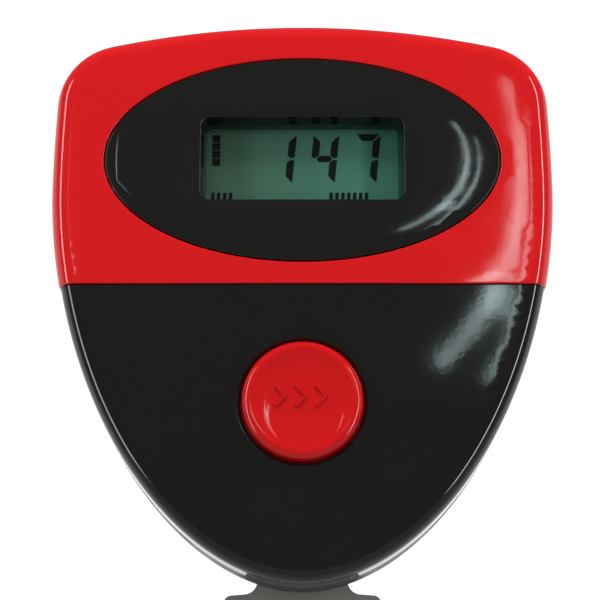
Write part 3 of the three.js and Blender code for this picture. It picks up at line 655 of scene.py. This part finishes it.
def display_bezel():
    bm = bmesh.new()
    edge = ellipse(OVAL_HALF[0] - BEZEL_LIP, OVAL_HALF[1] - BEZEL_LIP, DISPLAY_Y)
    rim, opening = fill_region(bm, [edge, window_outline(MOUTH_RADIUS)], bezel_height, 1.7)
    row = rim
    starts = [vert.co.z for vert in rim]
    for i in range(1, 6):
        angle = math.pi / 2 * i / 5
        inset = BEZEL_LIP - BEZEL_LIP * math.sin(angle)
        drop = BEZEL_LIP * (1 - math.cos(angle))
        ring = ellipse(OVAL_HALF[0] - inset, OVAL_HALF[1] - inset, DISPLAY_Y)
        row = carry_on(bm, row, [(x, y, z - drop) for (x, y), z in zip(ring, starts)], True, True)
    carry_on(bm, row, [(v.co.x, v.co.y, BEZEL_FOOT) for v in row], True, True)

    row = opening
    for i in range(1, 5):
        angle = math.pi / 2 * i / 4
        drop = MOUTH_RADIUS * (1 - math.cos(angle))
        ring = window_outline(MOUTH_RADIUS * (1 - math.sin(angle)))
        row = carry_on(bm, row, [(x, y, bezel_height(x, y) - drop) for x, y in ring])
    for share in (0.5, 1.0):
        ring = window_outline(-WINDOW_DRAFT * share)
        row = carry_on(bm, row, [(x, y, -TUNNEL_END * share) for x, y in ring])
    return finish_piece("display_bezel_dome", bm, BEZEL, "console", ["display_bezel"], 1.0, 0.0)


# ---- display --------------------------------------------------------------------------------
SLANT = 0.1             # the digits lean by this much per unit of height
DIGIT_HIGH = 11.7
DIGIT_WIDE = 5.7
STROKE = 1.6
DIGIT_GAP = 0.32
SEGMENTS_OF = {"1": "bc", "4": "bcfg", "7": "abc"}
FIGURES = (("1", -8.05), ("4", 1.4), ("7", 10.6))     # each digit and its left side
DIGIT_BASE = 2.5
INK_LIFT = (0.02, 0.06)
BLOCKS = {"left": -20.05, "low": 6.75, "wide": 1.8, "high": 1.68, "pitch": 1.84, "count": 4}
BARS = {"low": -1.3, "wide": 0.75, "high": 1.8, "pitch": 1.3}
BAR_ROWS = ((-20.2, 4), (5.9, 7))                     # the left end and number of bars in each row
GLASS_HALF_Y = 13
GLASS_THICKNESS = 0.7


def digit_segments(lit):
    """Seven-segment bars as polygons, in a box of DIGIT_WIDE by DIGIT_HIGH from its lower left."""
    w, h, t, g = DIGIT_WIDE, DIGIT_HIGH, STROKE, DIGIT_GAP
    middle = h / 2
    half = t / 2
    shapes = {
        "a": [(g, h), (w - g, h), (w - t, h - t), (t, h - t)],
        "b": [(w, h - g), (w, middle + g), (w - half, middle + g * 0.6), (w - t, middle + half),
              (w - t, h - t - g)],
        "c": [(w, middle - g), (w, g), (w - t, t + g), (w - t, middle - half), (w - half, middle - g * 0.6)],
        "f": [(0, h - g), (t, h - t - g), (t, middle + half), (half, middle + g * 0.6), (0, middle + g)],
        "g": [(t + g * 0.4, middle + half * 0.9), (w - t - g * 0.4, middle + half * 0.9),
              (w - half - g, middle), (w - t - g * 0.4, middle - half * 0.9),
              (t + g * 0.4, middle - half * 0.9), (half + g, middle)],
    }
    return [shapes[name] for name in lit]


def add_plate(bm, outline, low, high):
    """A thin flat plate from an outline, closed all round."""
    bottom = [bm.verts.new((x, y, low)) for x, y in outline]
    top = [bm.verts.new((x, y, high)) for x, y in outline]
    bm.faces.new(top)
    bm.faces.new(list(reversed(bottom)))
    count = len(outline)
    for i in range(count):
        j = (i + 1) % count
        bm.faces.new((bottom[i], bottom[j], top[j], top[i]))


def lcd_ink():
    """The dark parts of the display: the digits, a stack of blocks and two rows of bars."""
    bm = bmesh.new()
    low, high = GLASS_FRONT + INK_LIFT[0], GLASS_FRONT + INK_LIFT[1]

    def leaning(x, y, wide, tall, lean):
        add_plate(bm, [(x, y), (x + wide, y), (x + wide + lean, y + tall), (x + lean, y + tall)], low, high)

    for figure, left in FIGURES:
        for outline in digit_segments(SEGMENTS_OF[figure]):
            add_plate(bm, [(left + x + SLANT * y, DIGIT_BASE + y) for x, y in outline], low, high)
    for i in range(BLOCKS["count"]):
        leaning(BLOCKS["left"], BLOCKS["low"] + i * BLOCKS["pitch"], BLOCKS["wide"], BLOCKS["high"], 0.05)
    for left, count in BAR_ROWS:
        for i in range(count):
            leaning(left + i * BARS["pitch"], BARS["low"], BARS["wide"], BARS["high"], 0.1)
    return finish_piece("lcd_segments", bm, INK, "console")


def lcd_front_glass():
    bm = bmesh.new()
    low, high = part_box("lcd_front_glass")
    half_x = (high.x - low.x) / 2 / MM
    outline = rounded_rectangle(half_x, DISPLAY_Y - GLASS_HALF_Y, DISPLAY_Y + GLASS_HALF_Y, 0.3, 3)
    add_plate(bm, outline, GLASS_FRONT - GLASS_THICKNESS, GLASS_FRONT)
    return finish_piece("lcd_panel", bm, LCD, "console", ["lcd_front_glass"], 0, 0.08)


# ---- push button ----------------------------------------------------------------------------
BUTTON_CREST = 11.2
BUTTON_SHOULDER = 2.0
FLANGE_OUT = 1.5             # the flange that holds the button in, beyond its radius
FLANGE_TOP = -2.4
FLANGE_LOW = -3.3
CAP_UNDERSIDE = -0.5
PLUNGER_RADIUS = 3
PLUNGER_TIP = -5.3
MARK_RISE = 0.8              # the chevrons sit this far above the button's middle
MARK_LIFT = 0.42
MARK_LEFTS = (-6.2, -1.9, 2.4)
MARK_HALF_HIGH = 2.2
MARK_REACH = 2.0
MARK_STROKE = 1.0
DOME_FOOT = -8.2
DOME_OUTSIDE = [(6.5, DOME_FOOT), (6.5, -7.7), (6.3, -7.55), (5.3, -7.35), (4.6, -6.9), (3.8, -6.1),
                (3.2, -5.75), (2.6, -5.6), (0, -5.6)]
DOME_INSIDE = [(0, -6.05), (2.6, -6.1), (3.2, -6.5), (4.2, -7.4), (4.8, -7.9), (4.9, DOME_FOOT),
               (6.5, DOME_FOOT)]


def dish(radius):
    """Height of the button's hollow face at a distance from its axis."""
    return BUTTON_HEIGHT - BUTTON_DISH * (1 - (radius / BUTTON_CREST) ** 4)


def mode_button():
    bm = bmesh.new()
    steps = 16
    profile = [(BUTTON_CREST * i / steps, dish(BUTTON_CREST * i / steps)) for i in range(steps)]
    for i in range(11):
        angle = math.pi / 2 * i / 10
        profile.append((BUTTON_CREST + (BUTTON_RADIUS - BUTTON_CREST) * math.sin(angle),
                        BUTTON_HEIGHT - BUTTON_SHOULDER * (1 - math.cos(angle))))
    outer, inner = BUTTON_RADIUS + FLANGE_OUT, BUTTON_RADIUS - FLANGE_OUT
    profile += [(BUTTON_RADIUS, -0.3), (BUTTON_RADIUS, FLANGE_TOP + 0.1), (outer, FLANGE_TOP),
                (outer, FLANGE_LOW), (inner, FLANGE_LOW), (inner, CAP_UNDERSIDE),
                (PLUNGER_RADIUS, CAP_UNDERSIDE), (PLUNGER_RADIUS, PLUNGER_TIP), (0, PLUNGER_TIP)]
    turned(bm, list(reversed(profile)), (0, BUTTON_Y), 128)
    return finish_piece("button_cap", bm, BUTTON_RED, "mode_button", ["mode_button"], 0, 0.0, 50)


def button_mark():
    """Three plain raised chevrons on the button's hollow face."""
    bm = bmesh.new()
    rows = 6
    section = ((0, -0.12), (0.16, MARK_LIFT), (MARK_STROKE - 0.16, MARK_LIFT), (MARK_STROKE, -0.12))
    for left in MARK_LEFTS:
        spine = [(left + MARK_REACH * (1 - abs(t / rows)), MARK_HALF_HIGH * t / rows)
                 for t in range(-rows, rows + 1)]
        rings = []
        for x, y in spine:
            ring = []
            for dx, lift in section:
                z = dish(math.hypot(x + dx, y + MARK_RISE)) + lift
                ring.append(bm.verts.new((x + dx, BUTTON_Y + MARK_RISE + y, z)))
            rings.append(ring)
        for one, two in zip(rings, rings[1:]):
            for i in range(4):
                j = (i + 1) % 4
                bm.faces.new((one[i], one[j], two[j], two[i]))
        bm.faces.new(rings[0])
        bm.faces.new(list(reversed(rings[-1])))
    return finish_piece("button_mark", bm, BUTTON_RED, "mode_button", (), 0, 0.05, 25)


def dome():
    """The silicone dome under the button, built in its rest shape; the real one flattens as the button goes
    in.
    """
    bm = bmesh.new()
    turned(bm, DOME_OUTSIDE, (0, BUTTON_Y), 64)
    turned(bm, DOME_INSIDE, (0, BUTTON_Y), 64)
    bmesh.ops.remove_doubles(bm, verts=bm.verts, dist=1e-5)
    piece = finish_piece("silicone_dome", bm, SILICONE, "console", ["button_dome"])
    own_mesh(piece)


# ---- back of the case -----------------------------------------------------------------------
BACK_WALL = 1.4
JACK_MOUTH = 3.8
JACK_DEPTH = 2.4
WELL_RADIUS = 3.2
WELL_FLOOR = -16.2
WELL_WALL = 0.8
WELL_HOLE = 1.7


def rear_shell():
    """The rear shell with the door's pocket, the cell's bay and the screw wells."""
    bm = bmesh.new()
    back = -CASE_DEPTH
    edge = whole_outline(STEP_IN + BACK_EDGE)
    pocket = rounded_rectangle(DOOR_HALF_WIDTH + GAP, POCKET_LOW, DOOR_TOP + GAP, 0.6, 3, 2)
    jack = circle(JACK, JACK_MOUTH, 40)
    rim, pocket_row, jack_row = fill_region(bm, [edge, pocket, jack], lambda x, y: back, 3.2, up=False)

    row = rim
    for i in range(1, 13):
        angle = math.pi / 2 * i / 12
        ring = whole_outline(STEP_IN + BACK_EDGE * (1 - math.sin(angle)))
        z = back + BACK_EDGE * (1 - math.cos(angle))
        row = carry_on(bm, row, [(x, y, z) for x, y in ring])
    carry_on(bm, row, [(v.co.x, v.co.y, -PARTING - GAP) for v in row])

    ledge = back + DOOR_THICKNESS + GAP
    row = carry_on(bm, pocket_row, [(v.co.x, v.co.y, ledge) for v in pocket_row], True, True)
    low_y, high_y = CELL_Y - BAY_HALF[1], CELL_Y + BAY_HALF[1]

    def into_bay(v, z):
        x = max(-BAY_HALF[0], min(BAY_HALF[0], v.co.x))
        y = max(low_y, min(high_y, v.co.y))
        return (x, y, z)

    row = carry_on(bm, row, [into_bay(v, ledge) for v in row], True, True)
    row = carry_on(bm, row, [(v.co.x, v.co.y, -BAY_FLOOR) for v in row], True, True)
    bm.faces.new(row)

    carry_on(bm, jack_row, [(v.co.x, v.co.y, back + JACK_DEPTH) for v in jack_row], True, True)
    bmesh.ops.remove_doubles(bm, verts=bm.verts, dist=1e-4)
    case = finish_piece("rear_case", bm, BACK, "console", ["rear_shell"], BACK_WALL, 0.25,
                        outward=(0, 0, -1))
    drills = bmesh.new()
    for place in CASE_SCREWS:
        drill = [(0, back + 4), (WELL_RADIUS, back + 4), (WELL_RADIUS, back - 4), (0, back - 4)]
        turned(drills, drill, place, 40)
    carve(case, drills)
    outer, mouth, ledge = WELL_RADIUS + WELL_WALL, back + 0.75, WELL_FLOOR + 1.5
    for i, place in enumerate(CASE_SCREWS, 1):
        well = bmesh.new()
        profile = [(WELL_RADIUS, WELL_FLOOR), (WELL_RADIUS, mouth), (outer, mouth), (outer, ledge),
                   (WELL_HOLE, ledge), (WELL_HOLE, WELL_FLOOR), (WELL_RADIUS, WELL_FLOOR)]
        turned(well, profile, place, 40)
        bmesh.ops.remove_doubles(well, verts=well.verts, dist=1e-5)
        finish_piece(f"screw_well_{i}", well, BACK, "console")


# ---- fasteners ------------------------------------------------------------------------------
CASE_SCREW = {"seat": -16.3, "head_radius": 2.8, "head_high": 2.0, "shank_radius": 1.15, "tip": -5.4}
BRACKET_SCREW = {"seat": -28.4, "head_radius": 3.4, "head_high": 2.3, "shank_radius": 1.4, "tip": -16}
WASHER = [(2.1, -27.6), (4.25, -27.6), (4.4, -27.75), (4.4, -28.25), (4.25, -28.4), (2.1, -28.4),
          (2.1, -27.6)]
HEAD_DOME = 0.55             # share of the head's height that is domed
CROSS_ARM = 0.62             # shares of the head's radius
CROSS_WIDE = 0.17
CROSS_DEPTH = 0.75           # share of the head's height
CROSS_TAPER = 0.55
CROSS_TURN = 0.4


def cross_screw(name, node, centre, seat, head_radius, head_high, shank_radius, tip):
    """A pan-head screw seen from the back, with a cross recess cut into its head."""
    bm = bmesh.new()
    dome = head_high * HEAD_DOME
    profile = [(0, tip), (shank_radius, tip - 0.8), (shank_radius, seat), (head_radius, seat),
               (head_radius, seat - head_high + dome)]
    for i in range(1, 7):
        angle = math.pi / 2 * i / 6
        profile.append((head_radius * math.cos(angle), seat - head_high + dome - dome * math.sin(angle)))
    profile[-1] = (0, profile[-1][1])
    turned(bm, list(reversed(profile)), centre, 48)
    screw = finish_piece(name, bm, STEEL, "console", [node], 0, 0.0, 40)
    slots = bmesh.new()
    arm, wide = head_radius * CROSS_ARM, head_radius * CROSS_WIDE
    crown_z = seat - head_high
    for turn in (0, math.pi / 2):
        spin = Matrix.Rotation(turn + CROSS_TURN, 2)
        rings = []
        for share, z in ((1, crown_z - 0.4), (CROSS_TAPER, crown_z + head_high * CROSS_DEPTH)):
            corners = ((-arm, -wide), (arm, -wide), (arm, wide), (-arm, wide))
            flat = [spin @ (Vector(corner) * share) for corner in corners]
            rings.append([slots.verts.new((centre[0] + p.x, centre[1] + p.y, z)) for p in flat])
        slots.faces.new(rings[0])
        slots.faces.new(list(reversed(rings[1])))
        for i in range(4):
            j = (i + 1) % 4
            slots.faces.new((rings[0][j], rings[0][i], rings[1][i], rings[1][j]))
    carve(screw, slots)
    return screw


def fasteners():
    for i, place in enumerate(CASE_SCREWS, 1):
        cross_screw(f"case_screw_{i}_detail", f"case_screw_{i}", place, **CASE_SCREW)
    for i, place in enumerate(BRACKET_SCREWS, 1):
        cross_screw(f"bracket_screw_{i}_detail", f"bracket_screw_{i}", place, **BRACKET_SCREW)
        bm = bmesh.new()
        turned(bm, WASHER, place, 64)
        bmesh.ops.remove_doubles(bm, verts=bm.verts, dist=1e-5)
        finish_piece(f"washer_{i}", bm, STEEL, "console", [f"bracket_washer_{i}"])


# ---- bracket --------------------------------------------------------------------------------
# The bracket is one blank of sheet: x across, and s along its length from the tongue's top.
BEND_RADIUS = BEND_INSIDE + SHEET
BEND_ANGLE = math.pi - (math.pi / 2 - LEAN)
LEG = TONGUE_TOP - BEND_Y
BEND_LENGTH = BEND_RADIUS * BEND_ANGLE
BLANK = LEG + BEND_LENGTH + FOOT_LENGTH
BRACKET_SCREW_HOLE = 2.1
SHOULDER_FILLET = 3.0
SHOULDER_CORNER = 2.0
EAR_BEND = 1.6
EAR_DEPTH = 4.6
EAR_PINCH = 0.28             # how much an ear narrows towards its tip


def fold(x, s):
    """The place of a blank's point on the bracket's outer face once it is bent."""
    front = -CASE_DEPTH - GAP
    if s <= LEG:
        return (x, TONGUE_TOP - s, front)
    centre_y, centre_z = BEND_Y, front - BEND_RADIUS
    angle = math.pi / 2 + min(1.0, (s - LEG) / BEND_LENGTH) * BEND_ANGLE
    y = centre_y + BEND_RADIUS * math.cos(angle)
    z = centre_z + BEND_RADIUS * math.sin(angle)
    rest = max(0.0, s - LEG - BEND_LENGTH)
    return (x, y + rest * math.sin(LEAN), z - rest * math.cos(LEAN))


def bracket():
    shoulder = TONGUE_TOP - SHOULDER_Y
    fillet, corner = SHOULDER_FILLET, SHOULDER_CORNER
    side = FLANGE_HALF - EAR_BEND

    def arc(cx, cs, radius, start, end, steps=8):
        return [(cx + radius * math.cos(math.radians(start + (end - start) * i / steps)),
                 cs + radius * math.sin(math.radians(start + (end - start) * i / steps)))
                for i in range(steps + 1)]

    right = arc(NECK_HALF - 3, 3, 3, -90, 0)
    right += straight(right[-1], (NECK_HALF, shoulder - fillet), 14)
    right += arc(NECK_HALF + fillet, shoulder - fillet, fillet, 180, 90)
    right += arc(side - 0.3, shoulder + corner, corner * 0.9, -90, -10, 5)
    ear_from = shoulder + corner + 1.2
    ear_to = LEG - 2.5
    right += [(side, ear_from - 0.8)]
    ear_start = len(right)
    ear_steps = 8
    right += [(side, ear_from + (ear_to - ear_from) * i / ear_steps) for i in range(ear_steps + 1)]
    right += [(side, ear_to + 0.6), (FLANGE_HALF, ear_to + 1.4)]
    right += straight(right[-1], (FLANGE_HALF, BLANK - FOOT_CORNER), 60)
    right += arc(FLANGE_HALF - FOOT_CORNER, BLANK - FOOT_CORNER, FOOT_CORNER, 0, 90)
    left = [(-x, s) for x, s in reversed(right)]
    blank = right + left
    middle = BLANK - FOOT_LENGTH / 2
    holes = [circle((0, middle + side_of * FOOT_HOLE_SPACING / 2), FOOT_HOLE, 40) for side_of in (-1, 1)]
    holes += [circle((0, TONGUE_TOP - y), BRACKET_SCREW_HOLE, 32) for _, y in BRACKET_SCREWS]
    bm = bmesh.new()
    rim = fill_region(bm, [blank] + holes, lambda x, y: 0, 1.3, up=False)[0]
    for vert in bm.verts:
        vert.co = fold(vert.co.x, vert.co.y)
    count = len(right)
    ears = (
        (rim[ear_start:ear_start + ear_steps + 1], 1),
        (rim[2 * count - 1 - ear_start - ear_steps:2 * count - ear_start], -1),
    )
    for row, sign in ears:
        bases = [v.co.copy() for v in row]
        for i in range(1, 7):
            angle = math.pi / 2 * i / 6
            shift = Vector((sign * EAR_BEND * math.sin(angle), 0, -EAR_BEND * (1 - math.cos(angle))))
            row = carry_on(bm, row, [base + shift for base in bases], False, True)
        centre = (bases[0].y + bases[-1].y) / 2
        for i in range(1, 7):
            share = i / 6
            pinch = 1.0 - EAR_PINCH * max(0.0, share - 0.25) ** 2
            places = [(sign * FLANGE_HALF, centre + (b.y - centre) * pinch, b.z - EAR_BEND - EAR_DEPTH * share)
                      for b in bases]
            row = carry_on(bm, row, places, False, True)
    return finish_piece("bracket_sheet", bm, GREY, "console", ["bracket"], SHEET, 0.25,
                        outward=(0, -1, 0))


# ---- floor, light and world -----------------------------------------------------------------
def fade(tree, value, source, target):
    """A smooth change from target[0] to target[1] while the value goes through the source range."""
    node = tree.nodes.new("ShaderNodeMapRange")
    node.interpolation_type = "SMOOTHSTEP"
    node.inputs["From Min"].default_value, node.inputs["From Max"].default_value = source
    node.inputs["To Min"].default_value, node.inputs["To Max"].default_value = target
    tree.links.new(value, node.inputs["Value"])
    return node.outputs["Result"]


FLOOR_REACH = 6.0            # metres, as the rest of this block
FLOOR_GAP = 0.0002
FLOOR_GREY = 0.26
GLOW_FROM = -0.09            # the floor glows white behind the console and is plain in front of it
GLOW_TO = 0.02
HORIZON_LIGHT = 0.95
ROOM_LIGHT = 0.19


def stage():
    """The floor and the world: white behind the console, dim in front, where its faces mirror."""
    bm = bmesh.new()
    bmesh.ops.create_grid(bm, x_segments=4, y_segments=4, size=FLOOR_REACH)
    mesh = bpy.data.meshes.new("floor")
    bm.to_mesh(mesh)
    bm.free()
    floor = bpy.data.objects.new("floor", mesh)
    floor.location = (0, 0, -FLOOR_GAP)
    bpy.context.scene.collection.objects.link(floor)
    mat = bpy.data.materials.new("pale_floor")
    mat.use_nodes = True
    shader = mat.node_tree.nodes["Principled BSDF"]
    shader.inputs["Base Color"].default_value = (*[FLOOR_GREY] * 3, 1)
    shader.inputs["Roughness"].default_value = 0.9
    shader.inputs["Specular IOR Level"].default_value = 0.1
    shader.inputs["Emission Color"].default_value = (1, 1, 1, 1)
    coords = mat.node_tree.nodes.new("ShaderNodeTexCoord")
    parts = mat.node_tree.nodes.new("ShaderNodeSeparateXYZ")
    mat.node_tree.links.new(coords.outputs["Object"], parts.inputs["Vector"])
    glow = fade(mat.node_tree, parts.outputs["Y"], (GLOW_FROM, GLOW_TO), (0.2, 1.0))
    mat.node_tree.links.new(glow, shader.inputs["Emission Strength"])
    mesh.materials.append(mat)
    unlit = bpy.data.collections.new("unlit_by_side_lights")
    unlit.objects.link(floor)
    unlit.collection_objects[0].light_linking.link_state = "EXCLUDE"

    world = bpy.data.worlds.new("studio")
    world.use_nodes = True
    nodes = world.node_tree.nodes
    nodes["Background"].inputs["Color"].default_value = (1, 1, 1, 1)
    link = world.node_tree.links.new
    coords = nodes.new("ShaderNodeTexCoord")
    parts = nodes.new("ShaderNodeSeparateXYZ")
    link(coords.outputs["Generated"], parts.inputs["Vector"])
    low = fade(world.node_tree, parts.outputs["Z"], (0.16, 0.34), (1, 0))
    behind = fade(world.node_tree, parts.outputs["Y"], (-0.25, 0.15), (0.1, 1))
    both = nodes.new("ShaderNodeMath")
    both.operation = "MULTIPLY"
    link(low, both.inputs[0])
    link(behind, both.inputs[1])
    strength = fade(world.node_tree, both.outputs["Value"], (0, 1), (ROOM_LIGHT, HORIZON_LIGHT))
    link(strength, nodes["Background"].inputs["Strength"])
    bpy.context.scene.world = world


EYE = Vector(CAMERA_AIM) + sight * CAMERA_DISTANCE


def box_light(name, place, across, wide, high, radiance, color=(1, 1, 1), target=(0, CROWN_Y, 0)):
    """A soft box at a face-frame place (mm), facing the target, with its width along across."""
    data = bpy.data.lights.new(name, "AREA")
    data.shape = "RECTANGLE"
    data.size, data.size_y = wide * MM, high * MM
    data.energy = radiance * math.pi * data.size * data.size_y
    data.color = color
    light = bpy.data.objects.new(name, data)
    out = (Vector(place) - Vector(target)).normalized()
    along = (Vector(across) - out * out.dot(Vector(across))).normalized()
    frame_axes = Matrix((along, out.cross(along), out)).transposed()
    spin = TURN.to_3x3() @ frame_axes
    light.matrix_world = Matrix.Translation(FACE @ Vector(place)) @ spin.to_4x4()
    light.visible_camera = False
    bpy.context.scene.collection.objects.link(light)
    return light


def slope(height, x, y, step=0.05):
    """Normal of a surface z = height(x, y)."""
    rise_x = (height(x + step, y) - height(x - step, y)) / (2 * step)
    rise_y = (height(x, y + step) - height(x, y - step)) / (2 * step)
    return Vector((-rise_x, -rise_y, 1)).normalized()


def mirrored(height, x, y, distance):
    """Where the camera sees to, at a distance, when it looks at this place on a glossy surface."""
    point = Vector((x, y, height(x, y)))
    ray = (point - EYE).normalized()
    normal = slope(height, x, y)
    return point + (ray - normal * (2 * ray.dot(normal))) * distance


def glint(name, height, start, end, width, radiance, color=(1, 1, 1), distance=1100):
    """A narrow light whose reflection on the surface runs from start to end with this width."""
    across = Vector((end[0] - start[0], end[1] - start[1])).normalized()
    middle = ((start[0] + end[0]) / 2, (start[1] + end[1]) / 2)
    side = Vector((-across.y, across.x)) * width / 2
    one, two = mirrored(height, *start, distance), mirrored(height, *end, distance)
    left = mirrored(height, middle[0] + side.x, middle[1] + side.y, distance)
    right = mirrored(height, middle[0] - side.x, middle[1] - side.y, distance)
    box_light(name, (one + two) / 2, two - one, (two - one).length, (left - right).length, radiance, color,
              (middle[0], middle[1], height(*middle)))


def glints(name, height, path, width, radiance, color):
    """Lights end to end along a path, thinner and dimmer at both ends."""
    count = len(path) - 1
    for i in range(count):
        share = math.sin(math.pi * (i + 0.5) / count)
        glint(f"{name}_{i}", height, path[i], path[i + 1], width * (0.45 + 0.55 * share),
              radiance * (0.7 + 0.3 * share), color)


COOL = (0.78, 1.0, 1.0)
BLUISH = (0.75, 0.9, 1.0)
SIDE_LIGHT_HIGH = 1300
SIDE_LIGHTS = (           # name, place, direction across, width, radiance
    ("key_right", (810, 120, 590), (1, 0, -1), 100, 12),
    ("key_left", (-860, 100, 500), (1, 0, 1), 170, 7),
)
FACE_GLINTS = (           # name, start and end on the face, width, radiance
    ("red_patch", (46.6, 13), (47.2, -20), 2.6, 1.5),
    ("red_patch_wide", (44.6, 2), (44.9, -12), 1.6, 0.7),
    ("red_blob", (40.4, -16.6), (40.4, -19.4), 2.8, 1.2),
    ("black_patch", (42.8, -22.5), (42.0, -29), 6.5, 4.5),
    ("black_tail", (45.4, -26), (40.6, -44), 1.3, 1.0),
)


def oval_path(half_x, half_y, start, end, pieces):
    """Places along an oval about the display's centre, from one angle to another in degrees."""
    path = []
    for i in range(pieces + 1):
        angle = math.radians(start + (end - start) * i / pieces)
        path.append((half_x * math.cos(angle), DISPLAY_Y + half_y * math.sin(angle)))
    return path


def lights():
    for name, place, across, wide, radiance in SIDE_LIGHTS:
        light = box_light(name, place, across, wide, SIDE_LIGHT_HIGH, radiance)
        light.light_linking.receiver_collection = bpy.data.collections["unlit_by_side_lights"]
    fill = box_light("overhead", (0, 950, 500), (1, 0, 0), 1300, 500, 5.0)
    fill.visible_glossy = False
    glints("bezel_inner", bezel_height, oval_path(36.2, 20.5, 24, -54, 7), 1.25, 6.5, COOL)
    glints("bezel_outer", bezel_height, oval_path(38.8, 22.8, 12, -45, 6), 0.75, 6.5, COOL)
    glints("bezel_left", bezel_height, oval_path(42.4, 22.0, 166, 202, 7), 0.7, 9, BLUISH)
    for name, start, end, width, radiance in FACE_GLINTS:
        glint(name, crown, start, end, width, radiance, COOL)


# ---- assembly -------------------------------------------------------------------------------
dress_cad_nodes()
front_shell()
cover_seat()
top_cover()
display_bezel()
lcd_front_glass()
lcd_ink()
mode_button()
button_mark()
dome()
rear_shell()
fasteners()
bracket()
stage()
lights()
bpy.context.scene.view_settings.view_transform = "Standard"
